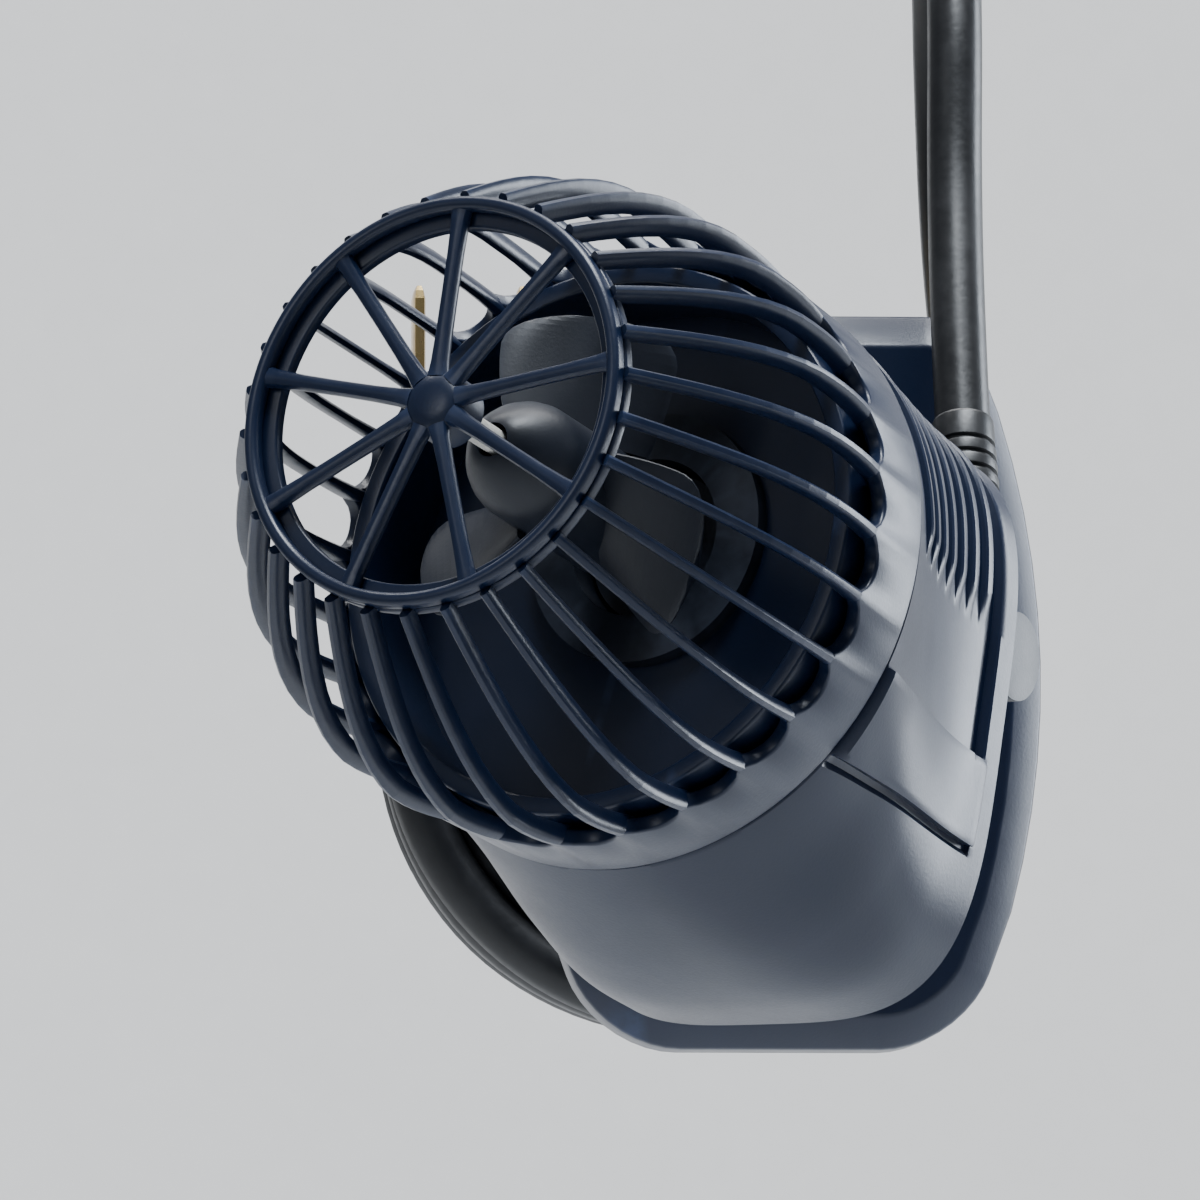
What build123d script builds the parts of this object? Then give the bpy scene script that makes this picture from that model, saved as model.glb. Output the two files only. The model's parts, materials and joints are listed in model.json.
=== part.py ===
from build123d import *
from math import cos, pi, radians, sin, sqrt, tan
import os

os.makedirs("parts", exist_ok=True)

# Wave maker pump for an aquarium. A propeller pump hangs on a two-axis joint in front of a
# magnet mount, which a second magnet outside the tank holds through the glass.
#
# Row frame, millimetres: origin at the middle of the wet pad's face on the glass, +X right,
# +Y through the glass out of the tank, +Z up. The pump points into the tank, to the left and up.

# ---- aim of the pump and where its joint stands ----------------------------------------------
YAW = 35.0  # to the left of square to the glass
PITCH = 15.0  # up from level
STANDOFF = 44.0  # glass face to the point where the two pivots cross
PIVOT_X = 4.3  # the pivots stand this far right of the mount's middle
GLASS = 10.0  # tank wall between the two magnet halves

# ---- pump head, along its own axis from the pivots -------------------------------------------
RING_Z = 95.0  # front face of the outlet ring
WINDOW_Z = 53.0  # rear ends of the intake windows
FRONT_Z = 44.0  # front wall of the motor housing
LIP_Z = 6.0  # rear lip of the motor housing
COVER_Z = 10.5  # back of the rear cover, sunk inside the lip
COVER_T = 3.0
WALL = 2.0
RUN_GAP = 0.05  # running fit, radial
PLAY = 0.3  # free gap between curved faces

# ---- intake cage and outlet grille -----------------------------------------------------------
RING_R = 24.4
RING_W = 1.6
RING_T = 2.2
BELLY_R = 37.5
BELLY_Z = 65.0
COLLAR_R = 36.0
DROP = 3.5  # how far the collar and the belly hang under the pump's axis
RIBS = 30
RIB_W = 1.3
RIB_T = 2.6
SEAT_W = 1.6  # flange inside the cage that the grille sits on
SPOKES = 9
SPOKE_W = 2.0
SPOKE_T = 2.0
HUB_R = 4.0
HUB_T = 6.0

# ---- motor housing ---------------------------------------------------------------------------
BODY_W = 54.0
BODY_H = 70.0
BODY_R = 18.0
BODY_DROP = 11.0
RIDGES = 7
RIDGE_PITCH = 3.8
RIDGE_W = 2.0
RIDGE_T = 0.9
SPIGOT_T = 2.2
SPIGOT_L = 12.0
RIDGE_Z = 13.0  # back of the first ridge
RIDGE_LOW = -3.0  # the ridges stop this far under the pump's axis
MOUTH_GAP = 0.4  # the housing's mouth is this much smaller than the cage's collar, in radius
NECK_Z = 34.0
NECK_W = 63.0
NECK_H = 71.5
NECK_R = 29.0
NECK_DROP = 6.5
SHOULDER_Z = 24.0
SHOULDER_R = 22.0
SHOULDER_DROP = 9.4
SHOULDER_GROWTH = 3.0  # how much wider than the back
BACK_Z = 15.0  # flat-sided from here to the lip

# ---- rotor, shaft and stator -----------------------------------------------------------------
SHAFT_R = 1.5
WELL_R = 9.5
WELL_T = 1.2
WELL_END_Z = 18.0  # inner face of the closed end
WELL_END_T = 1.6
FLANGE_R = 15.0
JACKET_R = 8.9
JACKET_T = 0.6
MAGNET_L = 20.0
BUSH_R = 3.5
BUSH_L = 5.0
BUSH_SEAT_R = 4.0
WASHER_T = 1.0
WASHER_R = 3.2
PROP_HUB_R = 7.0
PROP_HUB_L = 20.0
PROP_Z = 53.0
PROP_R = 21.0
BLADES = 3
STACK_L = 12.0
POLE_R = 11.0
CORE_W = 36.0
LEG_W = 7.0
CORE_TOP = 12.0
CORE_REACH = 36.0  # from the pump's axis down to the skin beside the core's lower corners
CORE_BOTTOM = CORE_REACH - WALL
COIL_T = 2.5
COIL_L = 14.0

# ---- two-axis joint --------------------------------------------------------------------------
YAW_PIN_R = 2.0
BARREL_R = 5.6
LUG_IN = 7.0  # from the level plane to the inner face of each mount lug
LUG_T = 4.0
LUG_R = 5.0
TRUNNION_R = 3.5
EAR_IN = 7.0
EAR_T = 4.0
EAR_R = 5.6
FRICTION_T = 1.2
FRICTION_R = 4.0
CAP_T = 3.0
CAP_R = 5.2
GLAND_R = 5.2
GLAND_L = 11.6
NOSE_R = 4.6
NOSE_L = 12.0
BRACKET_W = 24.0
BRACKET_H = 40.0
BRACKET_T = 3.0
LUG_FOOT_W = 16.0
LUG_FOOT_Y = 6.0
SCREW_R = 1.25
SCREW_HEAD_R = 2.4
SCREW_HEAD_T = 1.4
SCREW_X = 8.0
SCREW_ROW_Z = 15.5

# ---- magnet mount, both halves ---------------------------------------------------------------
PLATE_W = 62.0
PLATE_H = 87.0
SIDE_R = 105.0
TOP_CORNER_R = 4.5
LOW_CORNER_R = 9.5
BEVEL = 3.8
PAD_T = 1.5
LID_T = 2.0
MAGNET_T = 7.0
KEEPER_T = 1.5
SKIN = 2.0
MAGNET_W = 34.0
MAGNET_H = 27.0
MAGNET_GAP = 2.0
KEEPER_W = MAGNET_W + 2.0
KEEPER_H = 2 * MAGNET_H + MAGNET_GAP + 2.0
LID_GAP = 0.1
POCKET_GAP = 0.2
DRY_W = 56.0
DRY_H = 78.0

# ---- mains cord and plug ---------------------------------------------------------------------
CORD_D = 6.5
RELIEF_L = 20.0
RELIEF_R = 4.3
RELIEF_LEAN = 26.8  # the cord leaves this far back from upright
COIL_C = (-5.0, 50.75, 0.0)  # middle of the coil's front face
COIL_R = 32.5
COIL_DEEP = 3
COIL_WIDE = 2
TAIL_R = 29.0
TAIL_TURNS = 4
TAIL_STEP = 36.0
TAIL_FROM = -36.0
TAIL_RISE = (2.5, 7.0, 11.0, 12.0)
TIE_T = 1.2
TIE_W = 8.0
PLUG_W = 20.0
PLUG_D = 15.0
PLUG_L = 20.0
PLUG_RELIEF_L = 10.0
PIN_W = 6.3
PIN_T = 1.5
PIN_L = 17.0
PIN_GAP = 12.7

# ---- frames worked out from the aim ----------------------------------------------------------
forward = Vector(
    -sin(radians(YAW)) * cos(radians(PITCH)),
    -cos(radians(YAW)) * cos(radians(PITCH)),
    sin(radians(PITCH)),
)
side = Vector(cos(radians(YAW)), -sin(radians(YAW)), 0)
pivot = Vector(PIVOT_X, -STANDOFF, 0)
pump = Plane(origin=pivot, x_dir=side, z_dir=forward)
glass = Plane(origin=(0, 0, 0), x_dir=(1, 0, 0), z_dir=(0, -1, 0))  # its +Z runs into the tank
behind_pivot = Plane(origin=(PIVOT_X, 0, 0), x_dir=(1, 0, 0), z_dir=(0, -1, 0))
trunnion = Plane(origin=pivot, x_dir=(0, 0, 1), z_dir=side)

MOUNT_T = PAD_T + LID_T + MAGNET_T + KEEPER_T + SKIN
WELL_FRONT_Z = FRONT_Z + WALL
JACKET_Z = WELL_END_Z + BUSH_SEAT_R / 2 + WASHER_T
JACKET_L = MAGNET_L + 2 * JACKET_T
STACK_Z = JACKET_Z + (JACKET_L - STACK_L) / 2
SPIGOT_R = COLLAR_R - RIB_T - PLAY


def save(piece, name):
    piece.part.label = name
    export_step(piece.part, "parts/" + name + ".step")


def belly(z):
    """The cage's outer radius at a place along the axis."""
    if z >= BELLY_Z:
        share = (RING_Z - z) / (RING_Z - BELLY_Z)
        return RING_R + (BELLY_R - RING_R) * sin(share * pi / 2)
    share = (BELLY_Z - z) / (BELLY_Z - WINDOW_Z)
    return BELLY_R - (BELLY_R - COLLAR_R) * share**2


def hang(z):
    """How far the cage's middle lies under the pump's axis at a place along it."""
    return DROP * min(1.0, (RING_Z - z) / (RING_Z - BELLY_Z))


def reach(z, angle):
    """From the pump's axis out to the cage's surface, in one direction across it."""
    low = hang(z)
    return sqrt(belly(z) ** 2 - (low * cos(angle)) ** 2) - low * sin(angle)


# ---- intake cage: thirty curved ribs between a collar and a seat for the grille --------------
RIB_STATIONS = (RING_Z - RING_T, 88.0, 80.0, 72.0, BELLY_Z, 58.0, WINDOW_Z - 1.0)

with BuildPart() as intake_cage:
    with BuildSketch(pump.offset(FRONT_Z + PLAY)):
        with Locations((0, -DROP)):
            Circle(COLLAR_R)
            Circle(COLLAR_R - WALL, mode=Mode.SUBTRACT)
    extrude(amount=WINDOW_Z - FRONT_Z - PLAY)
    with BuildSketch(pump.offset(RING_Z - RING_T)):
        Circle(RING_R)
        Circle(RING_R - RING_W - SEAT_W, mode=Mode.SUBTRACT)
    extrude(amount=-RING_W)
    for rib in range(RIBS):
        turn = 2 * pi * (rib + 0.5) / RIBS
        outward = pump.x_dir * cos(turn) + pump.y_dir * sin(turn)
        blade_plane = Plane(origin=pivot, x_dir=forward, z_dir=forward.cross(outward))
        outer = [(z, reach(z, turn)) for z in RIB_STATIONS]
        inner = [(z, r - RIB_T) for z, r in outer]
        with BuildSketch(blade_plane):
            with BuildLine():
                Spline(*outer)
                Line(outer[-1], inner[-1])
                Spline(*inner)
                Line(inner[0], outer[0])
            make_face()
        extrude(amount=RIB_W / 2, both=True)
save(intake_cage, "intake_cage")

# ---- outlet grille: rim, nine spokes and a hub that carries the front end of the shaft -------
with BuildPart() as outlet_grille:
    with BuildSketch(pump.offset(RING_Z - RING_T)):
        Circle(RING_R)
        Circle(RING_R - RING_W, mode=Mode.SUBTRACT)
    extrude(amount=RING_T)
    with BuildSketch(pump.offset(RING_Z - SPOKE_T)):
        with PolarLocations(0, SPOKES, start_angle=90):
            with Locations(((RING_R - RING_W / 2) / 2, 0)):
                Rectangle(RING_R - RING_W / 2, SPOKE_W)
        Circle(HUB_R)
    extrude(amount=SPOKE_T - 0.4)
    with BuildSketch(pump.offset(RING_Z - HUB_T)):
        Circle(HUB_R)
    extrude(amount=HUB_T)
    with BuildSketch(pump.offset(RING_Z - HUB_T)):
        Circle(HUB_R - 1.0)
    extrude(amount=HUB_T - 2.0, mode=Mode.SUBTRACT)
save(outlet_grille, "outlet_grille")

with BuildPart() as front_bush:
    with BuildSketch(pump.offset(RING_Z - HUB_T)):
        Circle(HUB_R - 1.0)
        Circle(SHAFT_R + RUN_GAP, mode=Mode.SUBTRACT)
    extrude(amount=HUB_T - 2.0)
save(front_bush, "front_bush")


# ---- motor housing: round at the cage, flat-sided and deeper at the back ---------------------
def housing_sections(inset):
    """(place along the axis, width, height, corner radius, drop) of the housing's outline."""
    mouth = COLLAR_R - MOUTH_GAP - inset
    wide = BODY_W - 2 * inset
    high = BODY_H - 2 * inset
    grown = SHOULDER_GROWTH
    return [
        (FRONT_Z, 2 * mouth, 2 * mouth, mouth - 0.1, DROP),
        (NECK_Z, NECK_W - 2 * inset, NECK_H - 2 * inset, NECK_R - inset, NECK_DROP),
        (SHOULDER_Z, wide + grown, high + grown / 5, SHOULDER_R - inset, SHOULDER_DROP),
        (BACK_Z, wide, high, BODY_R - inset, BODY_DROP),
        (LIP_Z, wide, high, BODY_R - inset, BODY_DROP),
    ]


def housing_outlines(inset):
    outlines = []
    for z, w, h, r, low in housing_sections(inset):
        with BuildSketch(pump.offset(z)) as outline:
            with Locations((0, -low)):
                RectangleRounded(w, h, r)
        outlines.append(outline.sketch.face())
    return outlines


with BuildPart() as ridge_form:
    loft(housing_outlines(-RIDGE_T))

with BuildPart() as ridge_slabs:
    for ridge in range(RIDGES):
        with BuildSketch(pump.offset(RIDGE_Z + ridge * RIDGE_PITCH)):
            with Locations((0, RIDGE_LOW)):
                Rectangle(2 * BODY_H, BODY_H, align=(Align.CENTER, Align.MIN))
        extrude(amount=RIDGE_W)

with BuildPart() as motor_housing:
    loft(housing_outlines(0))
    add(ridge_form.part & ridge_slabs.part)
    loft(housing_outlines(WALL), mode=Mode.SUBTRACT)
    with BuildSketch(pump.offset(FRONT_Z)):
        with Locations((0, -DROP)):
            Circle(COLLAR_R - MOUTH_GAP - 0.05)
        Circle(WELL_R + WELL_T, mode=Mode.SUBTRACT)
    extrude(amount=-WALL)
    with BuildSketch(pump.offset(FRONT_Z)):
        with Locations((0, -DROP)):
            Circle(SPIGOT_R)
            Circle(SPIGOT_R - SPIGOT_T, mode=Mode.SUBTRACT)
    extrude(amount=SPIGOT_L)
save(motor_housing, "motor_housing")

# ---- rotor well: the cup that keeps water off the windings -----------------------------------
with BuildPart() as rotor_well:
    with BuildSketch(pump.offset(WELL_END_Z - WELL_END_T)):
        Circle(WELL_R + WELL_T)
    extrude(amount=FRONT_Z - WELL_END_Z + WELL_END_T)
    with BuildSketch(pump.offset(FRONT_Z)):
        Circle(FLANGE_R)
    extrude(amount=WALL)
    with BuildSketch(pump.offset(WELL_END_Z)):
        Circle(WELL_R)
    extrude(amount=WELL_FRONT_Z - WELL_END_Z, mode=Mode.SUBTRACT)
    with BuildSketch(pump.offset(WELL_END_Z)):
        Circle(BUSH_SEAT_R + 1.2)
        Circle(BUSH_SEAT_R, mode=Mode.SUBTRACT)
    extrude(amount=BUSH_SEAT_R / 2)
save(rotor_well, "rotor_well")

with BuildPart() as rear_bush:
    with BuildSketch(pump.offset(WELL_END_Z)):
        Circle(BUSH_SEAT_R)
        Circle(SHAFT_R, mode=Mode.SUBTRACT)
    extrude(amount=BUSH_SEAT_R / 2)
save(rear_bush, "rear_bush")

SHAFT_END_Z = RING_Z - 3.0
with BuildPart() as shaft:
    with BuildSketch(pump.offset(WELL_END_Z)):
        Circle(SHAFT_R)
    extrude(amount=SHAFT_END_Z - WELL_END_Z)
    chamfer(shaft.faces().sort_by(Axis(pivot, forward))[-1].edges(), 0.4)
save(shaft, "shaft")

with BuildPart() as thrust_washer:
    with BuildSketch(pump.offset(WELL_END_Z + BUSH_SEAT_R / 2)):
        Circle(WASHER_R)
        Circle(SHAFT_R + RUN_GAP, mode=Mode.SUBTRACT)
    extrude(amount=WASHER_T - RUN_GAP)
save(thrust_washer, "thrust_washer")

# ---- rotor: ring magnet in a plastic jacket on two sleeve bearings, with the propeller on its nose 
with BuildPart() as rotor_magnet:
    with BuildSketch(pump.offset(JACKET_Z + JACKET_T)):
        Circle(JACKET_R - JACKET_T)
        Circle(BUSH_R, mode=Mode.SUBTRACT)
    extrude(amount=MAGNET_L)
save(rotor_magnet, "rotor_magnet")

NOSE_Z = JACKET_Z + JACKET_L
with BuildPart() as rotor_jacket:
    with BuildSketch(pump.offset(JACKET_Z)):
        Circle(JACKET_R)
    extrude(amount=JACKET_L)
    with BuildSketch(pump.offset(NOSE_Z)):
        Circle(BUSH_R + 1.5)
    extrude(amount=PROP_Z + PROP_HUB_L * 0.6 - NOSE_Z)
    with BuildSketch(pump.offset(JACKET_Z + JACKET_T)):
        Circle(JACKET_R - JACKET_T)
    extrude(amount=MAGNET_L, mode=Mode.SUBTRACT)
    with BuildSketch(pump.offset(JACKET_Z)):
        Circle(BUSH_R)
    extrude(amount=PROP_Z + PROP_HUB_L - JACKET_Z, mode=Mode.SUBTRACT)
save(rotor_jacket, "rotor_jacket")

BEARING_FRONT_Z = PROP_Z + PROP_HUB_L * 0.6 - BUSH_L
for bearing_name, bearing_z in (("rear_bearing", JACKET_Z), ("front_bearing", BEARING_FRONT_Z)):
    with BuildPart() as bearing:
        with BuildSketch(pump.offset(bearing_z)):
            Circle(BUSH_R)
            Circle(SHAFT_R + RUN_GAP, mode=Mode.SUBTRACT)
        extrude(amount=BUSH_L)
    save(bearing, bearing_name)

HUB_NOSE_L = 8.0
BLADE_ROOT_R = PROP_HUB_R - 1.2
with BuildPart() as propeller:
    with BuildSketch(pump.offset(PROP_Z)):
        Circle(PROP_HUB_R)
    extrude(amount=PROP_HUB_L)
    with BuildSketch(pump.offset(PROP_Z + PROP_HUB_L)):
        Circle(PROP_HUB_R)
    extrude(amount=HUB_NOSE_L, taper=26)
    for blade in range(BLADES):
        turn = radians(90 + 360 * blade / BLADES)
        outward = pump.x_dir * cos(turn) + pump.y_dir * sin(turn)
        middle = pivot + forward * (PROP_Z + PROP_HUB_L / 2)
        for radius, chord, thick, twist in (
            (BLADE_ROOT_R, 15.0, 2.4, 46.0),
            ((PROP_HUB_R + PROP_R) / 2, 20.0, 1.9, 34.0),
            (PROP_R, 19.0, 1.4, 26.0),
        ):
            section = Plane(origin=middle + outward * radius, x_dir=forward, z_dir=outward)
            with BuildSketch(section):
                RectangleRounded(chord, thick, thick * 0.45, rotation=90 - twist)
        loft()
    with BuildSketch(pump.offset(PROP_Z)):
        Circle(BUSH_R + 1.5)
    extrude(amount=PROP_HUB_L * 0.6, mode=Mode.SUBTRACT)
    with BuildSketch(pump.offset(PROP_Z)):
        Circle(SHAFT_R + 0.5)
    extrude(amount=PROP_HUB_L + HUB_NOSE_L, mode=Mode.SUBTRACT)
save(propeller, "propeller")

# ---- stator: laminated U with a coil on each leg, under and beside the well ------------------
LEG_X = LEG_W + LEG_W / 2
WINDOW_TOP = -POLE_R - 3.0
WINDOW_LOW = WINDOW_TOP - COIL_L - 1.0
with BuildPart() as stator_core:
    with BuildSketch(pump.offset(STACK_Z)):
        with Locations((0, (CORE_TOP - CORE_BOTTOM) / 2)):
            Rectangle(CORE_W, CORE_TOP + CORE_BOTTOM)
        Circle(POLE_R, mode=Mode.SUBTRACT)
        with Locations((0, CORE_TOP / 2)):
            Rectangle(3.0, CORE_TOP, mode=Mode.SUBTRACT)
        with Locations((0, WINDOW_LOW / 2)):
            Rectangle(2 * (LEG_X - LEG_W / 2), -WINDOW_LOW, mode=Mode.SUBTRACT)
        for way in (-1, 1):
            with Locations((way * (LEG_X + LEG_W / 2 + 5), (WINDOW_TOP + WINDOW_LOW) / 2)):
                Rectangle(10, WINDOW_TOP - WINDOW_LOW, mode=Mode.SUBTRACT)
    extrude(amount=STACK_L)
save(stator_core, "stator_core")

COIL_MID_Z = STACK_Z + STACK_L / 2
for side_name, way in (("left", -1), ("right", 1)):
    coil_plane = Plane(
        origin=pivot + pump.x_dir * (way * LEG_X) + forward * COIL_MID_Z + pump.y_dir * WINDOW_LOW,
        x_dir=pump.x_dir,
        z_dir=pump.y_dir,
    )
    spool_l = WINDOW_TOP - WINDOW_LOW
    with BuildPart() as bobbin:
        with BuildSketch(coil_plane):
            Rectangle(LEG_W + 2, STACK_L + 2)
        extrude(amount=spool_l)
        for end_z in (0, spool_l - 1.0):
            with BuildSketch(coil_plane.offset(end_z)):
                RectangleRounded(LEG_W + 2 * COIL_T + 2, STACK_L + 2 * COIL_T + 2, 2.0)
            extrude(amount=1.0)
        with BuildSketch(coil_plane):
            Rectangle(LEG_W, STACK_L)
        extrude(amount=spool_l, mode=Mode.SUBTRACT)
    save(bobbin, side_name + "_bobbin")
    with BuildPart() as winding:
        with BuildSketch(coil_plane.offset(1.0)):
            RectangleRounded(LEG_W + 2 * COIL_T + 1, STACK_L + 2 * COIL_T + 1, 2.5)
            Rectangle(LEG_W + 2, STACK_L + 2, mode=Mode.SUBTRACT)
        extrude(amount=spool_l - 2.0)
    save(winding, side_name + "_winding")

# ---- rear cover with the two ears of the tilt pivot, its gasket and its screws ---------------
COVER_GAP = 0.25
COVER_W = BODY_W - 2 * (WALL + COVER_GAP)
COVER_H = BODY_H - 2 * (WALL + COVER_GAP)
COVER_R = BODY_R - WALL
COVER_SCREW = (COVER_W / 2 - 8.0, COVER_H / 2 - 8.0)
with BuildPart() as rear_cover:
    with BuildSketch(pump.offset(COVER_Z)):
        with Locations((0, -BODY_DROP)):
            RectangleRounded(COVER_W, COVER_H, COVER_R)
            with GridLocations(2 * COVER_SCREW[0], 2 * COVER_SCREW[1], 2, 2):
                Circle(SCREW_R, mode=Mode.SUBTRACT)
    extrude(amount=COVER_T)
    for way in (-1, 1):
        with BuildSketch(trunnion.offset(way * (EAR_IN + EAR_T / 2))):
            Circle(EAR_R)
        extrude(amount=EAR_T / 2, both=True)
        ear_plane = Plane(
            origin=pivot + side * (way * (EAR_IN + EAR_T / 2)),
            x_dir=side,
            z_dir=forward,
        )
        with BuildSketch(ear_plane):
            Rectangle(EAR_T, 2 * EAR_R)
        extrude(amount=COVER_Z + 0.5)
    with BuildSketch(trunnion.offset(-EAR_IN - EAR_T - 1)):
        Circle(TRUNNION_R + RUN_GAP)
    extrude(amount=2 * (EAR_IN + EAR_T + 1), mode=Mode.SUBTRACT)
save(rear_cover, "rear_cover")

GASKET_T = 1.0
with BuildPart() as cover_gasket:
    with BuildSketch(pump.offset(COVER_Z + COVER_T)):
        with Locations((0, -BODY_DROP)):
            RectangleRounded(COVER_W - 1.0, COVER_H - 1.0, COVER_R - 0.5)
            RectangleRounded(COVER_W - 5.0, COVER_H - 5.0, COVER_R - 2.5, mode=Mode.SUBTRACT)
    extrude(amount=GASKET_T)
save(cover_gasket, "cover_gasket")

RESIN_Z = COVER_Z + COVER_T
with BuildPart() as potting_resin:
    with BuildSketch(pump.offset(RESIN_Z)):
        with Locations((0, -BODY_DROP)):
            RectangleRounded(COVER_W - 5.4, COVER_H - 5.4, COVER_R - 2.7)
            with GridLocations(2 * COVER_SCREW[0], 2 * COVER_SCREW[1], 2, 2):
                Circle(SCREW_R + 1.0, mode=Mode.SUBTRACT)
    extrude(amount=WELL_END_Z - WELL_END_T - RESIN_Z)
save(potting_resin, "potting_resin")

COVER_SCREW_L = 5.0
with BuildPart() as cover_screws:
    with BuildSketch(pump.offset(COVER_Z - SCREW_HEAD_T)):
        with Locations((0, -BODY_DROP)):
            with GridLocations(2 * COVER_SCREW[0], 2 * COVER_SCREW[1], 2, 2):
                Circle(SCREW_HEAD_R)
    extrude(amount=SCREW_HEAD_T)
    with BuildSketch(pump.offset(COVER_Z)):
        with Locations((0, -BODY_DROP)):
            with GridLocations(2 * COVER_SCREW[0], 2 * COVER_SCREW[1], 2, 2):
                Circle(SCREW_R)
    extrude(amount=COVER_SCREW_L)
    with BuildSketch(pump.offset(COVER_Z - SCREW_HEAD_T)):
        with Locations((0, -BODY_DROP)):
            with GridLocations(2 * COVER_SCREW[0], 2 * COVER_SCREW[1], 2, 2):
                Rectangle(3.0, 0.7)
                Rectangle(0.7, 3.0)
    extrude(amount=0.7, mode=Mode.SUBTRACT)
save(cover_screws, "cover_screws")

# ---- swivel: upright barrel on the yaw pin, with the two trunnions of the tilt pivot ---------
TRUNNION_END = EAR_IN + EAR_T + FRICTION_T
with BuildPart() as swivel_block:
    with BuildSketch(Plane.XY.offset(-LUG_IN + PLAY)):
        with Locations((PIVOT_X, -STANDOFF)):
            Circle(BARREL_R)
    extrude(amount=2 * (LUG_IN - PLAY))
    with BuildSketch(trunnion.offset(-TRUNNION_END - CAP_T / 2)):
        Circle(TRUNNION_R)
    extrude(amount=2 * TRUNNION_END + CAP_T)
    with BuildSketch(trunnion.offset(-EAR_IN + PLAY)):
        Circle(BARREL_R - PLAY)
    extrude(amount=2 * (EAR_IN - PLAY))
    with BuildSketch(Plane.XY.offset(-LUG_IN)):
        with Locations((PIVOT_X, -STANDOFF)):
            Circle(YAW_PIN_R + RUN_GAP)
    extrude(amount=2 * LUG_IN, mode=Mode.SUBTRACT)
save(swivel_block, "swivel_block")

for side_name, start in (("left", -TRUNNION_END), ("right", EAR_IN + EAR_T + RUN_GAP)):
    with BuildPart() as friction_ring:
        with BuildSketch(trunnion.offset(start)):
            Circle(FRICTION_R)
            Circle(TRUNNION_R, mode=Mode.SUBTRACT)
        extrude(amount=FRICTION_T - RUN_GAP)
    save(friction_ring, side_name + "_friction_ring")

with BuildPart() as trunnion_cap:
    with BuildSketch(trunnion.offset(-TRUNNION_END)):
        Circle(CAP_R)
    extrude(amount=-CAP_T)
    with BuildSketch(trunnion.offset(-TRUNNION_END)):
        Circle(TRUNNION_R)
    extrude(amount=-CAP_T / 2, mode=Mode.SUBTRACT)
save(trunnion_cap, "trunnion_cap")

# ---- cable gland: an elbow on the right trunnion that turns the cord up and back -------------
gland_middle = pivot + side * (TRUNNION_END + GLAND_L / 2)
exit_dir = Vector(0, sin(radians(RELIEF_LEAN)), cos(radians(RELIEF_LEAN)))
exit_plane = Plane(origin=gland_middle, x_dir=(1, 0, 0), z_dir=exit_dir)
with BuildPart() as cable_gland:
    with BuildSketch(trunnion.offset(TRUNNION_END)):
        Circle(GLAND_R)
    extrude(amount=GLAND_L)
    with BuildSketch(exit_plane):
        Circle(NOSE_R)
    extrude(amount=NOSE_L)
    with BuildSketch(trunnion.offset(TRUNNION_END)):
        Circle(TRUNNION_R)
    extrude(amount=CAP_T / 2, mode=Mode.SUBTRACT)
save(cable_gland, "cable_gland")

with BuildPart() as strain_relief:
    with BuildSketch(exit_plane.offset(NOSE_L)):
        Circle(RELIEF_R)
    with BuildSketch(exit_plane.offset(NOSE_L + RELIEF_L)):
        Circle(CORD_D / 2 + 0.4)
    loft()
save(strain_relief, "strain_relief")

# ---- wet half of the magnet mount ------------------------------------------------------------
def rounded_plate(plane, w, h, depth, inset=0.0, bevel=0.0):
    """A barrel-sided plate: level top and bottom, bowed sides, tighter corners at the top."""
    half_w = w / 2 - inset
    half_h = h / 2 - inset
    end_w = half_w - SIDE_R + sqrt(SIDE_R**2 - half_h**2)
    with BuildPart(mode=Mode.PRIVATE) as plate:
        with BuildSketch(plane):
            with BuildLine():
                Line((-end_w, half_h), (end_w, half_h))
                ThreePointArc((end_w, half_h), (half_w, 0), (end_w, -half_h))
                Line((end_w, -half_h), (-end_w, -half_h))
                ThreePointArc((-end_w, -half_h), (-half_w, 0), (-end_w, half_h))
            make_face()
        extrude(amount=depth)
        uprights = plate.edges().filter_by(Axis.Y).sort_by(Axis.Z)
        fillet(uprights[-2:], max(TOP_CORNER_R - inset, 0.8))
        lows = plate.edges().filter_by(Axis.Y).sort_by(Axis.Z)
        fillet(lows[:2], max(LOW_CORNER_R - inset, 0.8))
        if bevel:
            far = plate.faces().filter_by(Axis.Y).sort_by(Axis(plane.origin, plane.z_dir))[-1]
            chamfer(far.edges(), bevel)
    return plate.part


def magnet_half(prefix, plane, w, h):
    """The pad, lid, magnets, keeper and shell of one half, stacked away from the glass."""
    lid_start = PAD_T
    magnet_start = lid_start + LID_T
    keeper_start = magnet_start + MAGNET_T
    with BuildPart() as pad:
        add(rounded_plate(plane, w, h, PAD_T, inset=SKIN))
    save(pad, prefix + "_pad")
    with BuildPart() as lid:
        add(rounded_plate(plane.offset(lid_start), w, h, LID_T, inset=SKIN + LID_GAP))
    save(lid, prefix + "_lid")
    with BuildPart() as magnets:
        with BuildSketch(plane.offset(magnet_start)):
            with GridLocations(0, MAGNET_H + MAGNET_GAP, 1, 2):
                RectangleRounded(MAGNET_W, MAGNET_H, 1.0)
        extrude(amount=MAGNET_T)
    save(magnets, prefix + "_magnets")
    with BuildPart() as keeper:
        with BuildSketch(plane.offset(keeper_start)):
            RectangleRounded(KEEPER_W, KEEPER_H, 2.0)
        extrude(amount=KEEPER_T)
    save(keeper, prefix + "_keeper")


def magnet_pocket(plane):
    """The hollow in a shell that takes the magnets and their keeper."""
    with BuildPart(mode=Mode.PRIVATE) as pocket:
        with BuildSketch(plane.offset(PAD_T + LID_T)):
            RectangleRounded(KEEPER_W + 2 * POCKET_GAP, KEEPER_H + 2 * POCKET_GAP, 2.0)
        extrude(amount=MAGNET_T + KEEPER_T)
    return pocket.part


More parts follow.
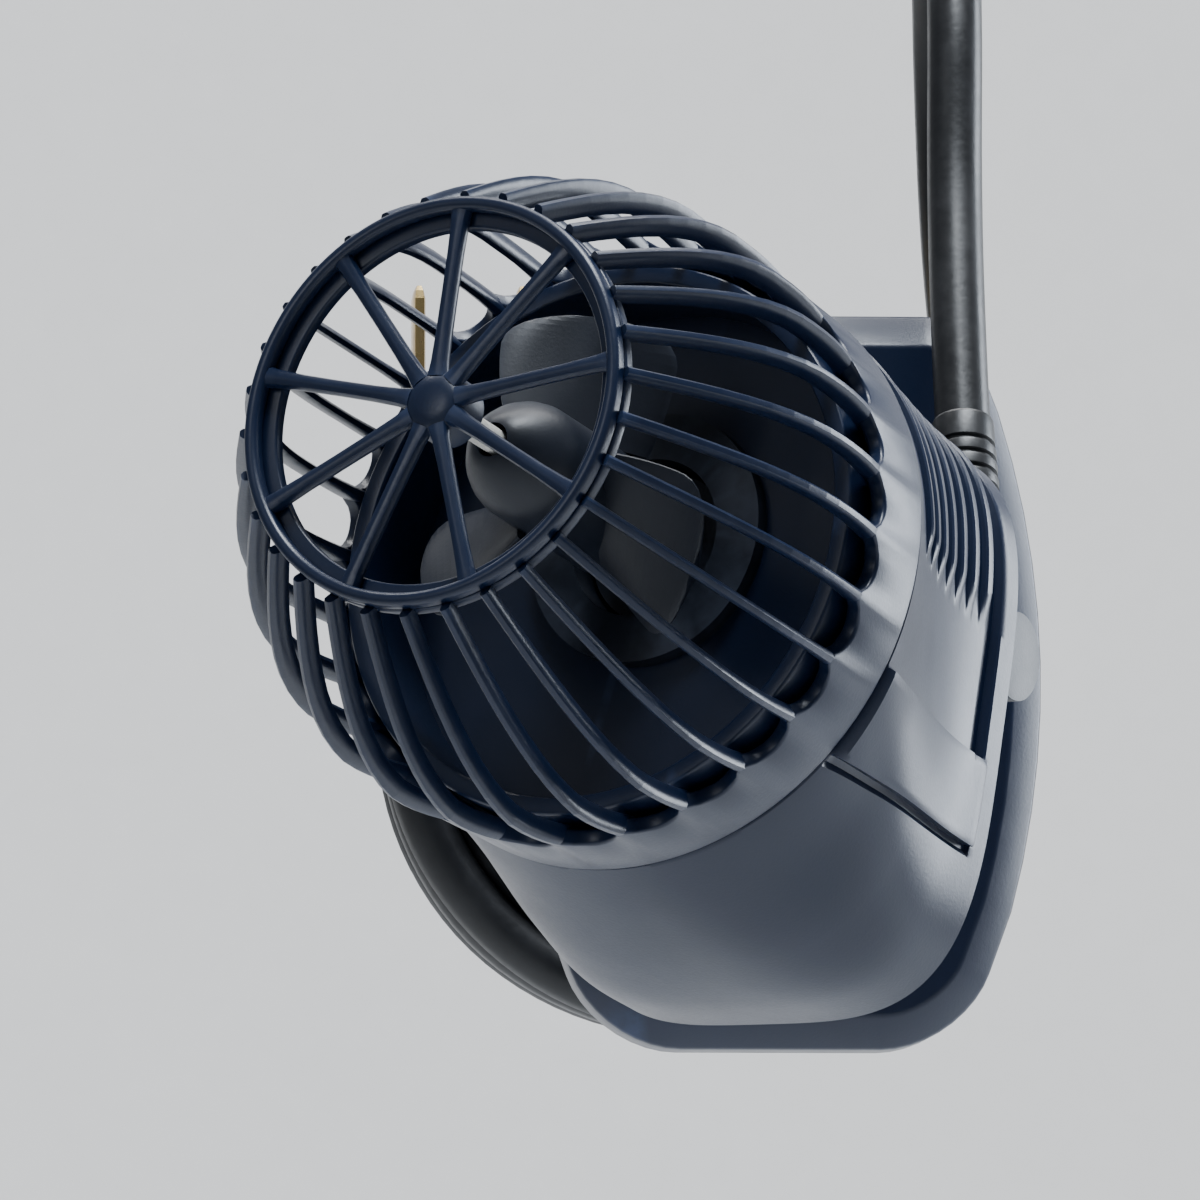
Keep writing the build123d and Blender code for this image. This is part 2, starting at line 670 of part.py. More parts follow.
magnet_half("wet", glass, PLATE_W, PLATE_H)
with BuildPart() as mount_shell:
    add(rounded_plate(glass.offset(PAD_T), PLATE_W, PLATE_H, MOUNT_T - PAD_T, bevel=BEVEL))
    add(
        rounded_plate(glass.offset(PAD_T), PLATE_W, PLATE_H, LID_T, inset=SKIN),
        mode=Mode.SUBTRACT,
    )
    add(magnet_pocket(glass), mode=Mode.SUBTRACT)
    with BuildSketch(behind_pivot.offset(MOUNT_T - SKIN)):
        with GridLocations(2 * SCREW_X, 2 * SCREW_ROW_Z, 2, 2):
            Circle(SCREW_R)
    extrude(amount=SKIN, mode=Mode.SUBTRACT)
save(mount_shell, "mount_shell")

# ---- hinge bracket with two lugs, its screws and the yaw pin ---------------------------------
with BuildPart() as hinge_bracket:
    with BuildSketch(behind_pivot.offset(MOUNT_T)):
        RectangleRounded(BRACKET_W, BRACKET_H, 4.0)
    extrude(amount=BRACKET_T)
    for low in (LUG_IN, -LUG_IN - LUG_T):
        with BuildSketch(Plane.XY.offset(low)):
            with Locations((PIVOT_X, -STANDOFF)):
                Circle(LUG_R)
            with Locations((PIVOT_X, -(STANDOFF + MOUNT_T + BRACKET_T / 2) / 2)):
                Rectangle(2 * LUG_R, STANDOFF - MOUNT_T - BRACKET_T / 2)
            with Locations((PIVOT_X, -MOUNT_T - BRACKET_T - LUG_FOOT_Y / 2 + 0.5)):
                Rectangle(LUG_FOOT_W, LUG_FOOT_Y)
        extrude(amount=LUG_T)
    with BuildSketch(Plane.XY.offset(-LUG_IN - LUG_T)):
        with Locations((PIVOT_X, -STANDOFF)):
            Circle(YAW_PIN_R)
    extrude(amount=2 * (LUG_IN + LUG_T), mode=Mode.SUBTRACT)
    with BuildSketch(behind_pivot.offset(MOUNT_T)):
        with GridLocations(2 * SCREW_X, 2 * SCREW_ROW_Z, 2, 2):
            Circle(SCREW_R)
    extrude(amount=BRACKET_T, mode=Mode.SUBTRACT)
save(hinge_bracket, "hinge_bracket")

PIN_HEAD_T = 1.2
with BuildPart() as yaw_pin:
    with BuildSketch(Plane.XY.offset(-LUG_IN - LUG_T)):
        with Locations((PIVOT_X, -STANDOFF)):
            Circle(YAW_PIN_R)
    extrude(amount=2 * (LUG_IN + LUG_T))
    with BuildSketch(Plane.XY.offset(LUG_IN + LUG_T)):
        with Locations((PIVOT_X, -STANDOFF)):
            Circle(YAW_PIN_R + 1.2)
    extrude(amount=PIN_HEAD_T)
save(yaw_pin, "yaw_pin")

with BuildPart() as bracket_screws:
    with BuildSketch(behind_pivot.offset(MOUNT_T - SKIN)):
        with GridLocations(2 * SCREW_X, 2 * SCREW_ROW_Z, 2, 2):
            Circle(SCREW_R)
    extrude(amount=SKIN + BRACKET_T)
    with BuildSketch(behind_pivot.offset(MOUNT_T + BRACKET_T)):
        with GridLocations(2 * SCREW_X, 2 * SCREW_ROW_Z, 2, 2):
            Circle(SCREW_HEAD_R)
    extrude(amount=SCREW_HEAD_T)
    with BuildSketch(behind_pivot.offset(MOUNT_T + BRACKET_T + SCREW_HEAD_T)):
        with GridLocations(2 * SCREW_X, 2 * SCREW_ROW_Z, 2, 2):
            Rectangle(3.0, 0.7)
            Rectangle(0.7, 3.0)
    extrude(amount=-0.7, mode=Mode.SUBTRACT)
save(bracket_screws, "bracket_screws")

# ---- dry half, outside the glass -------------------------------------------------------------
outside = Plane(origin=(0, GLASS, 0), x_dir=(-1, 0, 0), z_dir=(0, 1, 0))
magnet_half("dry", outside, DRY_W, DRY_H)
with BuildPart() as dry_shell:
    add(rounded_plate(outside.offset(PAD_T), DRY_W, DRY_H, MOUNT_T - PAD_T, bevel=BEVEL))
    add(
        rounded_plate(outside.offset(PAD_T), DRY_W, DRY_H, LID_T, inset=SKIN),
        mode=Mode.SUBTRACT,
    )
    add(magnet_pocket(outside), mode=Mode.SUBTRACT)
save(dry_shell, "dry_shell")

# ---- mains cord: up the glass, over its rim and down behind to a tied coil -------------------
cord_start = gland_middle + exit_dir * (NOSE_L + RELIEF_L)
coil_out = COIL_R + CORD_D / 2
layer_y = [COIL_C[1] + CORD_D * (n + 0.5) for n in range(COIL_DEEP)]
CORD_ROUTE = [
    tuple(cord_start),
    tuple(cord_start + exit_dir * 17.3),
    (19.6, -22.8, 61.0),
    (20.2, -18.0, 78.5),
    (20.8, -4.5, 97.0),
    (21.8, 18.0, 104.5),
    (23.2, 40.0, 96.0),
    (24.6, 53.5, 77.0),
    (25.9, 55.6, 52.0),
    (29.2, 54.4, 26.0),
    (COIL_C[0] + coil_out, layer_y[0], 0.0),
]


def corner_radii(route):
    """The largest tangent arc that each corner's two runs allow."""
    points = [Vector(*p) for p in route]
    radii = []
    for a, b, c in zip(points, points[1:], points[2:]):
        before = b - a
        after = c - b
        half_turn = radians(before.get_angle(after)) / 2
        radii.append(0.45 * min(before.length, after.length) / tan(half_turn))
    return radii


def tube(route):
    """A round tube along straight runs joined by arcs, and the length of its path."""
    radii = corner_radii(route)
    with BuildPart() as cord:
        with BuildLine() as path:
            FilletPolyline(*route, radius=radii)
        with BuildSketch(Plane(origin=path.line @ 0, z_dir=path.line % 0)):
            Circle(CORD_D / 2)
        sweep()
    length = path.wires()[0].length
    share = cord.part.volume / (length * pi * CORD_D**2 / 4)
    print("path", round(length, 1), "radii", [round(r) for r in radii], "volume", round(share, 4))
    return cord


power_cord = tube(CORD_ROUTE)
save(power_cord, "power_cord")

bundle_in = COIL_R - CORD_D * COIL_WIDE / 2
bundle_out = COIL_R + CORD_D * COIL_WIDE / 2
coil_face = Plane(origin=COIL_C, x_dir=(1, 0, 0), z_dir=(0, 1, 0))
with BuildPart() as cord_coil:
    with BuildSketch(coil_face):
        Circle(bundle_out)
        Circle(bundle_in, mode=Mode.SUBTRACT)
    extrude(amount=CORD_D * COIL_DEEP)
    fillet(cord_coil.edges().filter_by(GeomType.CIRCLE), 2.5)
save(cord_coil, "cord_coil")

tail_middle = Vector(
    COIL_C[0] + (COIL_R - TAIL_R) * cos(radians(TAIL_FROM)),
    layer_y[-1],
    COIL_C[2] + (COIL_R - TAIL_R) * sin(radians(TAIL_FROM)),
)
corner_r = TAIL_R / cos(radians(TAIL_STEP / 2))


def around_tail(angle, rise, ahead=0.0):
    """A corner of the lead's route round the tail circle, or a place straight ahead of it."""
    turn = radians(angle)
    if not ahead:
        return tuple(tail_middle + Vector(corner_r * cos(turn), rise, corner_r * sin(turn)))
    x = TAIL_R * cos(turn) + ahead * sin(turn)
    z = TAIL_R * sin(turn) - ahead * cos(turn)
    return tuple(tail_middle + Vector(x, rise, z))


half_run = TAIL_R * tan(radians(TAIL_STEP / 2))
tail_route = [around_tail(TAIL_FROM, 0, ahead=-half_run)]
for turn_number in range(TAIL_TURNS):
    corner_angle = TAIL_FROM - TAIL_STEP * (turn_number + 0.5)
    tail_route.append(around_tail(corner_angle, TAIL_RISE[turn_number]))
last_angle = TAIL_FROM - TAIL_STEP * TAIL_TURNS
tail_route.append(around_tail(last_angle, TAIL_RISE[-1], ahead=half_run))
plug_lead = tube(tail_route)
save(plug_lead, "plug_lead")

with BuildPart() as cord_tie:
    tie_plane = Plane(
        origin=(COIL_C[0] - TIE_W / 2, COIL_C[1] + CORD_D * COIL_DEEP / 2, COIL_C[2] + COIL_R),
        x_dir=(0, 1, 0),
        z_dir=(1, 0, 0),
    )
    bundle = (CORD_D * COIL_DEEP, CORD_D * COIL_WIDE)
    with BuildSketch(tie_plane):
        RectangleRounded(bundle[0] + 0.4 + 2 * TIE_T, bundle[1] + 1.0 + 2 * TIE_T, 2.8)
        RectangleRounded(bundle[0] + 0.4, bundle[1] + 1.0, 1.6, mode=Mode.SUBTRACT)
    extrude(amount=TIE_W)
save(cord_tie, "cord_tie")

# ---- two-pin plug, tied to the back of the coil with its pins up -----------------------------
plug_start = Vector(*tail_route[-1])
plug_axis = Plane(origin=plug_start, x_dir=(1, 0, 0), z_dir=(0, 0, 1))
with BuildPart() as plug_relief:
    with BuildSketch(plug_axis):
        Circle(CORD_D / 2 + 0.4)
    with BuildSketch(plug_axis.offset(PLUG_RELIEF_L)):
        Circle(CORD_D / 2 + 2.0)
    loft()
save(plug_relief, "plug_relief")

with BuildPart() as plug_body:
    with BuildSketch(plug_axis.offset(PLUG_RELIEF_L)):
        RectangleRounded(PLUG_W * 0.7, PLUG_D * 0.8, 4.0)
    with BuildSketch(plug_axis.offset(PLUG_RELIEF_L + PLUG_L * 0.6)):
        RectangleRounded(PLUG_W, PLUG_D, 4.0)
    with BuildSketch(plug_axis.offset(PLUG_RELIEF_L + PLUG_L)):
        RectangleRounded(PLUG_W, PLUG_D, 4.0)
    loft(ruled=True)
save(plug_body, "plug_body")

with BuildPart() as plug_pins:
    with BuildSketch(plug_axis.offset(PLUG_RELIEF_L + PLUG_L)):
        with GridLocations(PIN_GAP, 0, 2, 1):
            Rectangle(PIN_T, PIN_W)
    extrude(amount=PIN_L)
    chamfer(plug_pins.faces().sort_by(Axis.Z)[-2:].edges().filter_by(Axis.Y), 0.5)
save(plug_pins, "plug_pins")
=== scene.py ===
# %% [markdown]
# # A wave maker pump for an aquarium
# The pump is an intake cage of thin curved ribs round a propeller, a flat-sided motor housing,
# a two-axis joint and a magnet mount that sits against the glass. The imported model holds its
# sizes and joints. This script gives it its looks: it rebuilds the pieces the eye meets, winds
# the cord, and mixes a finish for everything. First it loads the model as a fixed frame.

import json
import math
import random

import bmesh
import bpy
from mathutils import Matrix, Vector

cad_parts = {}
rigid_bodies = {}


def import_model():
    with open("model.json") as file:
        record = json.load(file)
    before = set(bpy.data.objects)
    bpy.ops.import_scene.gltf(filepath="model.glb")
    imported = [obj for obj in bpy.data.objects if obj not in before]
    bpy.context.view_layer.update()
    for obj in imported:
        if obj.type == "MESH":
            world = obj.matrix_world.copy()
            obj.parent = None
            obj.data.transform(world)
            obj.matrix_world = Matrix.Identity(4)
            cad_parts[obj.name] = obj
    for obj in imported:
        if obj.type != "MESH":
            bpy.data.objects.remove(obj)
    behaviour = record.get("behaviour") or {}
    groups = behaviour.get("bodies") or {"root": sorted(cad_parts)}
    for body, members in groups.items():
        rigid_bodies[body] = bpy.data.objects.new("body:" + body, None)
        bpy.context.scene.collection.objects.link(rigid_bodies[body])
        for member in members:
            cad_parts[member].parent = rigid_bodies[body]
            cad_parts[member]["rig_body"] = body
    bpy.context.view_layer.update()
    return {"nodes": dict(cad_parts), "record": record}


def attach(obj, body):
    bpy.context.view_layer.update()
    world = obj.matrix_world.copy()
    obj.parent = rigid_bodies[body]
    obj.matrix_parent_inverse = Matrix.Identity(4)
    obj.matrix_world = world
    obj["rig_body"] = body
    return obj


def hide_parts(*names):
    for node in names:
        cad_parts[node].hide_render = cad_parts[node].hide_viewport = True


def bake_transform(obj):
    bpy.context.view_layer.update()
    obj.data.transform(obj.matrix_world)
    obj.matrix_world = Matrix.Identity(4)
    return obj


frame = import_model()
MM = 0.001
random.seed(11)

# %% [markdown]
# The pump points to the left and a little up, so its pieces are easiest to say in its own
# directions: side is to its right, up is over its back, and forward is along its axis. They come
# from the joints' own axes. A place in the pump is then three millimetre numbers from the pivot.

# %% The pump's own directions
joints = {j["name"]: j for j in frame["record"]["behaviour"]["joints"]}
PIVOT = Vector(joints["yaw"]["pos_m"])
FORWARD = Vector(joints["propeller_spin"]["axis"]).normalized()
SIDE = -Vector(joints["tilt"]["axis"]).normalized()
UP = FORWARD.cross(SIDE)


def in_pump(x, y, z):
    """A place given in millimetres from the pivot: to the pump's right, up, and forward."""
    return PIVOT + (SIDE * x + UP * y + FORWARD * z) * MM


print("pump points", [round(v, 2) for v in FORWARD])

# %% [markdown]
# ## Camera
# The view is from slightly left of the mount and slightly below it, a little over two metres off,
# with a long lens. The cord climbs out of the top of the frame. Nothing is shifted or blurred.

# %% Camera
VIEW_TURN = math.radians(-4)
VIEW_RISE = math.radians(-4)
VIEW_DISTANCE = 2.2
VIEW_WIDTH = 0.139
aim = Vector((-0.0245, -0.055, 0.0065))
back = Vector((
    math.sin(VIEW_TURN) * math.cos(VIEW_RISE),
    -math.cos(VIEW_TURN) * math.cos(VIEW_RISE),
    math.sin(VIEW_RISE),
))
camera_data = bpy.data.cameras.new("view")
camera = bpy.data.objects.new("view", camera_data)
bpy.context.scene.collection.objects.link(camera)
camera.location = aim + back * VIEW_DISTANCE
camera.rotation_mode = "QUATERNION"
camera.rotation_quaternion = (-back).to_track_quat("-Z", "Y")
camera_data.sensor_width = 36
camera_data.lens = camera_data.sensor_width * VIEW_DISTANCE / VIEW_WIDTH
camera_data.clip_start = 0.05
camera_data.clip_end = 20
bpy.context.scene.camera = camera
print("lens", round(camera_data.lens), "mm")

# %% [markdown]
# ## Cord
# The cord leaves the gland, climbs to the glass, goes over the tank's rim and hangs down behind,
# where its spare length is tied in a coil. A cord looks right when it is one smooth line, so its
# route is the control points of a single NURBS spline. The coil's turns come from a loop: each
# turn takes a place in the bundle and moves to the next one over its last fifth.

# %% The cord's route
CORD_D = 6.5
EXIT = (19.04, -39.89, 28.56)
RISE = (19.04, -32.09, 44.0)
climb = [EXIT, RISE, (19.6, -22.8, 61.0), (20.2, -18.0, 78.5), (20.8, -4.5, 97.0),
         (21.8, 18.0, 104.5), (23.2, 40.0, 96.0), (24.6, 53.5, 77.0), (25.9, 55.6, 52.0),
         (29.2, 54.4, 26.0)]
COIL_MIDDLE = Vector((-5.0, 50.75, 0.0))
INNER, OUTER = 29.25, 35.75
layer = [COIL_MIDDLE.y + CORD_D * (n + 0.5) for n in range(3)]
turns = [(OUTER, layer[0]), (INNER, layer[0]), (INNER, layer[1]), (OUTER, layer[1]),
         (INNER, layer[2]), (OUTER, layer[2])]
TURN_POINTS = 16
control_share = math.cos(math.pi / TURN_POINTS) ** -0.5
coil = []
for number, (radius, depth) in enumerate(turns):
    next_radius, next_depth = turns[min(number + 1, len(turns) - 1)]
    for step in range(TURN_POINTS):
        move = max(0.0, (step / TURN_POINTS - 0.78) / 0.22)
        loose = random.uniform(-0.25, 0.25)
        r = (radius + (next_radius - radius) * move) * control_share + loose
        y = depth + (next_depth - depth) * move
        turn = -2 * math.pi * step / TURN_POINTS
        coil.append((COIL_MIDDLE.x + r * math.cos(turn), y, COIL_MIDDLE.z + r * math.sin(turn)))
print("control points", len(climb) + len(coil))

# %% [markdown]
# The lead to the plug leaves the coil's back layer and curls round inside it on a wide arc,
# rising clear of the turns as it goes, until it points straight up.

# %% The lead to the plug
TAIL_R = 29.0
TAIL_FROM = -36.0
TAIL_STEP = 36.0
tail_out = 32.5 - TAIL_R
tail_middle = COIL_MIDDLE + Vector((
    tail_out * math.cos(math.radians(TAIL_FROM)), 0,
    tail_out * math.sin(math.radians(TAIL_FROM)),
))
corner_r = TAIL_R / math.cos(math.radians(TAIL_STEP / 2))
half_run = TAIL_R * math.tan(math.radians(TAIL_STEP / 2))
tail = []
for number, rise in enumerate((2.5, 7.0, 11.0, 12.0)):
    turn = math.radians(TAIL_FROM - TAIL_STEP * (number + 0.5))
    tail.append((tail_middle.x + corner_r * math.cos(turn), layer[2] + rise,
                 tail_middle.z + corner_r * math.sin(turn)))
plug_start = Vector((tail_middle.x - TAIL_R, layer[2] + 12.0, tail_middle.z + half_run))
tail.append(tuple(plug_start))
link_turn = math.radians(-24)
join = (COIL_MIDDLE.x + 34.6 * math.cos(link_turn), layer[2] + 0.6,
        COIL_MIDDLE.z + 34.6 * math.sin(link_turn))
route = climb + coil + [(COIL_MIDDLE.x + OUTER, layer[2], 0.0), join] + tail
print("plug starts", [round(v) for v in plug_start])


# %% One smooth line, and a tube on it
def spline_object(name, points, radius=0.0):
    """A NURBS curve with these places, in millimetres, as its control points."""
    curve = bpy.data.curves.new(name, "CURVE")
    curve.dimensions = "3D"
    spline = curve.splines.new("NURBS")
    spline.points.add(len(points) - 1)
    for spot, place in zip(spline.points, points):
        spot.co = (*[v * MM for v in place], 1)
    spline.order_u = 3
    spline.use_endpoint_u = True
    spline.resolution_u = 6
    curve.bevel_depth = radius * MM
    curve.bevel_resolution = 5
    curve.use_fill_caps = True
    curved = bpy.data.objects.new(name, curve)
    bpy.context.scene.collection.objects.link(curved)
    return curved


bare = spline_object("cord_line", route)
line_mesh = bpy.data.meshes.new_from_object(bare)
thick = spline_object("cord_tube", route, CORD_D / 2)
tube_mesh = bpy.data.meshes.new_from_object(thick)
mains_cord = bpy.data.objects.new("mains_cord", tube_mesh)
bpy.context.scene.collection.objects.link(mains_cord)
for helper in (bare, thick):
    bpy.data.objects.remove(helper)


# %% [markdown]
# ## Finishes
# A finish here is a material made of nodes, so its pattern is worked out at every point instead
# of being stretched over the piece as a picture. Patterns need sums, and sums are hard to read as
# loose nodes. So a small class wraps a node's output, and ordinary Python signs add the Math
# nodes. A second class holds one material and adds any other kind of node.

# %% Sums on a surface, and a material to put them in
class Value:
    """A number that changes over a surface. Sums with it add Math nodes."""

    def __init__(self, finish, socket):
        self.finish = finish
        self.socket = socket

    def maths(self, operation, first, second=0.0):
        return self.finish.node("ShaderNodeMath", {0: first, 1: second}, operation=operation)[0]

    def __add__(self, other):
        return self.maths("ADD", self, other)

    def __sub__(self, other):
        return self.maths("SUBTRACT", self, other)

    def __rsub__(self, other):
        return self.maths("SUBTRACT", other, self)

    def __mul__(self, other):
        return self.maths("MULTIPLY", self, other)

    __radd__ = __add__
    __rmul__ = __mul__


class Finish:
    """One material, with the record's name for it."""

    def __init__(self, slot):
        self.slot = slot
        self.material = bpy.data.materials.new(slot)
        self.material.use_nodes = True
        self.tree = self.material.node_tree
        self.shader = self.tree.nodes["Principled BSDF"]
        self.place = self.node("ShaderNodeTexCoord", {})[3]

    def node(self, kind, values, **settings):
        """Adds a node with its settings and its sockets' values, and returns its outputs."""
        made = self.tree.nodes.new(kind)
        for setting, value in settings.items():
            setattr(made, setting, value)
        for name, value in values.items():
            if isinstance(value, Value):
                self.tree.links.new(value.socket, made.inputs[name])
            else:
                made.inputs[name].default_value = value
        return [Value(self, socket) for socket in made.outputs]

    def noise(self, scale, detail=3.0, rough=0.5, stretch=None):
        """Noise over the piece. A scale of 1000 has lumps about a millimetre wide."""
        place = self.place
        if stretch:
            place = self.node("ShaderNodeMapping", {"Vector": place, "Scale": stretch})[0]
        return self.node("ShaderNodeTexNoise", {
            "Vector": place, "Scale": scale, "Detail": detail, "Roughness": rough,
        })[0]

    def spread(self, value, low, high, out_low=0.0, out_high=1.0):
        """Turns one range of a value into another, with its ends held."""
        return self.node("ShaderNodeMapRange", {
            "Value": value, "From Min": low, "From Max": high,
            "To Min": out_low, "To Max": out_high,
        })[0]

    def between(self, share, first, second):
        """A colour between two others."""
        return self.node("ShaderNodeMix", {0: share, 6: first, 7: second}, data_type="RGBA")[2]

    def wear(self):
        """1 along sharp outward edges, where hands and brushes rub the piece."""
        return self.spread(self.node("ShaderNodeNewGeometry", {})[7], 0.53, 0.62)

    def gloss(self, **sockets):
        """Values that are the same all over, set on the shader itself."""
        for name, value in sockets.items():
            self.shader.inputs[name.replace("_", " ")].default_value = value

    def finish(self, colour, rough, height, bump=0.3, depth=0.0001, metal=None):
        """Joins a colour, a roughness and a height to the shader."""
        normal = self.node("ShaderNodeBump", {
            "Height": height, "Strength": bump, "Distance": depth,
        })[0]
        for name, value in (("Base Color", colour), ("Roughness", rough), ("Normal", normal)):
            self.tree.links.new(value.socket, self.shader.inputs[name])
        if metal:
            self.tree.links.new(metal.socket, self.shader.inputs["Metallic"])
        return self


print("shader sockets", len(Finish("scratch").shader.inputs))
bpy.data.materials.remove(bpy.data.materials["scratch"])

# %% [markdown]
# The body is injection-moulded plastic. Its skin shows three things at three sizes: slow changes
# of shade where the plastic flowed, a fine spark-eroded grain from the mould, and edges that
# have been rubbed a little paler. The same three are wanted on every plastic piece in different
# amounts, so one function makes them all.


# %% Moulded plastics
def moulded(slot, colour, pale, rough, grain=0.35, coat=0.0):
    made = Finish(slot)
    flow = made.noise(28, 2.0, 0.5, (1.0, 1.0, 0.45))
    skin = made.noise(2600, 2.0, 0.6)
    smear = made.noise(95, 4.0, 0.65)
    shade = made.between(made.spread(flow, 0.3, 0.7, 0.0, 0.35), (*colour, 1), (*pale, 1))
    worn = made.wear() * made.spread(smear, 0.42, 0.62)
    tone = made.between(worn * 0.5, shade, (*[v * 2.2 + 0.02 for v in pale], 1))
    roughness = rough + (smear - 0.5) * 0.16 + (skin - 0.5) * 0.1 + worn * 0.08
    if coat:
        made.gloss(Coat_Weight=coat, Coat_Roughness=0.16)
    made.gloss(IOR=1.46)
    return made.finish(tone, roughness, skin + flow * 0.4, grain, 0.00004)


finishes = {made.slot: made for made in (
    moulded("body_plastic", (0.0035, 0.0095, 0.03), (0.006, 0.017, 0.052), 0.34),
    moulded("works_plastic", (0.007, 0.01, 0.018), (0.012, 0.017, 0.03), 0.42),
    moulded("lid_plastic", (0.013, 0.015, 0.019), (0.022, 0.025, 0.03), 0.48),
    moulded("bobbin_plastic", (0.48, 0.44, 0.36), (0.58, 0.54, 0.46), 0.45),
    moulded("plug_plastic", (0.014, 0.014, 0.015), (0.024, 0.024, 0.026), 0.4, coat=0.1),
)}
print("moulded", sorted(finishes))

# %% [markdown]
# Rubber is duller than plastic. The pad that grips the glass has a fabric-like mould pattern on
# it, small raised squares, which two crossed waves give. The seals are plain rubber with a soft
# bloom in patches. The cord's jacket is soft vinyl, a little shiny, with fine marks that run
# across it where it was pulled off the reel, and dust along its length.


# %% Rubber and the cord's jacket
def waves(made, axis, scale):
    return made.node("ShaderNodeTexWave", {
        "Vector": made.place, "Scale": scale, "Distortion": 0.4, "Detail": 1.0,
        "Detail Scale": 2.0,
    }, bands_direction=axis)[1]


def rubber(slot, colour, pale, rough, squares=0.0):
    made = Finish(slot)
    bloom = made.noise(60, 4.0, 0.65)
    fine = made.noise(3200, 2.0, 0.6)
    tone = made.between(made.spread(bloom, 0.35, 0.75, 0.0, 0.7), (*colour, 1), (*pale, 1))
    roughness = rough + (bloom - 0.5) * 0.2
    height = fine * 0.6 + bloom * 0.4
    if squares:
        height = height * 0.3 + waves(made, "X", squares) * waves(made, "Z", squares)
    return made.finish(tone, roughness, height, 0.5, 0.00012)


finishes["pad_rubber"] = rubber(
    "pad_rubber", (0.012, 0.012, 0.013), (0.03, 0.03, 0.032), 0.72, 160)
finishes["seal_rubber"] = rubber(
    "seal_rubber", (0.016, 0.016, 0.017), (0.034, 0.034, 0.036), 0.62)

jacket = Finish("cord_jacket")
dust = jacket.noise(130, 5.0, 0.7)
drawn = jacket.noise(900, 2.0, 0.5)
jacket_tone = jacket.between(
    jacket.spread(dust, 0.45, 0.75, 0.0, 0.6), (0.0075, 0.008, 0.0095, 1), (0.02, 0.021, 0.024, 1),
)
jacket.gloss(IOR=1.48)
finishes["cord_jacket"] = jacket.finish(
    jacket_tone, 0.4 + (dust - 0.5) * 0.3 + (drawn - 0.5) * 0.12, drawn + dust * 0.5, 0.35, 0.00008,
)
print("finishes", len(finishes))

# %% [markdown]
# Metals and stone come next. The stator is a pack of steel sheets, so thin dark lines cross it
# every half millimetre along the pump. Copper wire is wound in rows, which a wave pattern
# along each coil gives. Sintered magnets are plated and faintly grainy, and the ceramic shaft
# is off-white and dense. Screws are turned and polished stainless steel.


# %% Metals
def metal(slot, colour, dull, rough, axis="Y", lines=0.0, depth=0.00005, plating=1.0):
    made = Finish(slot)
    cloud = made.noise(240, 4.0, 0.6)
    fine = made.noise(4000, 2.0, 0.6)
    tone = made.between(made.spread(cloud, 0.35, 0.75, 0.0, 0.7), (*colour, 1), (*dull, 1))
    height = fine * 0.5 + cloud * 0.3
    roughness = rough + (cloud - 0.5) * 0.2
    if lines:
        rows = waves(made, axis, lines)
        dark = (*[v * 0.3 for v in dull], 1)
        tone = made.between(made.spread(rows, 0.0, 0.35, 0.75, 0.0), tone, dark)
        height = height * 0.2 + rows
        roughness = roughness + (1 - rows) * 0.15
    shine = made.spread(cloud, 0.7, 0.95, plating, plating * 0.7)
    return made.finish(tone, roughness, height, 0.6, depth, shine)


finishes["magnetic_steel"] = metal(
    "magnetic_steel", (0.34, 0.35, 0.36), (0.2, 0.2, 0.21), 0.42, "Y", 320, 0.0001)
finishes["copper_wire"] = metal(
    "copper_wire", (0.62, 0.26, 0.11), (0.4, 0.15, 0.06), 0.3, "Z", 330, 0.00015)
finishes["stainless"] = metal("stainless", (0.6, 0.6, 0.6), (0.47, 0.48, 0.49), 0.24)
finishes["plug_brass"] = metal("plug_brass", (0.72, 0.52, 0.22), (0.5, 0.36, 0.17), 0.27)
finishes["magnet"] = metal("magnet", (0.3, 0.3, 0.31), (0.12, 0.12, 0.125), 0.4, plating=0.85)
print("finishes", len(finishes))

# %% [markdown]
# Three are left. The ceramic is hard and close-grained with specks. The potting resin is glossy
# and black, and slightly wavy where it set. The tie is woven nylon hook tape: crossed threads,
# with a soft sheen.

# %% Ceramic, resin and woven tape
stone = Finish("ceramic")
specks = stone.noise(5200, 2.0, 0.7)
veins = stone.noise(180, 3.0, 0.5)
stone_tone = stone.between(
    stone.spread(specks, 0.62, 0.75, 0.0, 0.6), (0.74, 0.72, 0.66, 1), (0.5, 0.47, 0.42, 1))
finishes["ceramic"] = stone.finish(stone_tone, 0.2 + veins * 0.15, specks + veins, 0.2, 0.00003)

pour = Finish("resin")
ripple = pour.noise(140, 3.0, 0.5)
dusting = pour.noise(1500, 3.0, 0.6)
pour_tone = pour.between(
    pour.spread(dusting, 0.5, 0.8), (0.006, 0.006, 0.007, 1), (0.016, 0.016, 0.018, 1))
finishes["resin"] = pour.finish(pour_tone, 0.12 + dusting * 0.2, ripple, 0.3, 0.0004)

tape = Finish("tie_fabric")
warp = waves(tape, "X", 420)
weft = waves(tape, "DIAGONAL", 300)
fuzz = tape.noise(1800, 4.0, 0.7)
threads = warp * weft
tape_tone = tape.between(threads, (0.006, 0.006, 0.007, 1), (0.028, 0.028, 0.032, 1))
tape.gloss(Sheen_Weight=0.3, Sheen_Roughness=0.5)
finishes["tie_fabric"] = tape.finish(
    tape_tone, 0.7 + fuzz * 0.2, threads + fuzz * 0.4, 0.8, 0.0003)

# %% [markdown]
# ## From mesh to piece
# Every new piece goes through the same few steps. It is made in millimetres in the pump's
# directions or the row's, then moved to its place in metres, its faces are turned outwards, and
# it is shaded smooth except across sharp corners. Then it is tied to the body it moves with.
# Two shapes come up again and again: an outline run through a row of places, and a round piece
# spun about an axis. Extrude and spin make those.

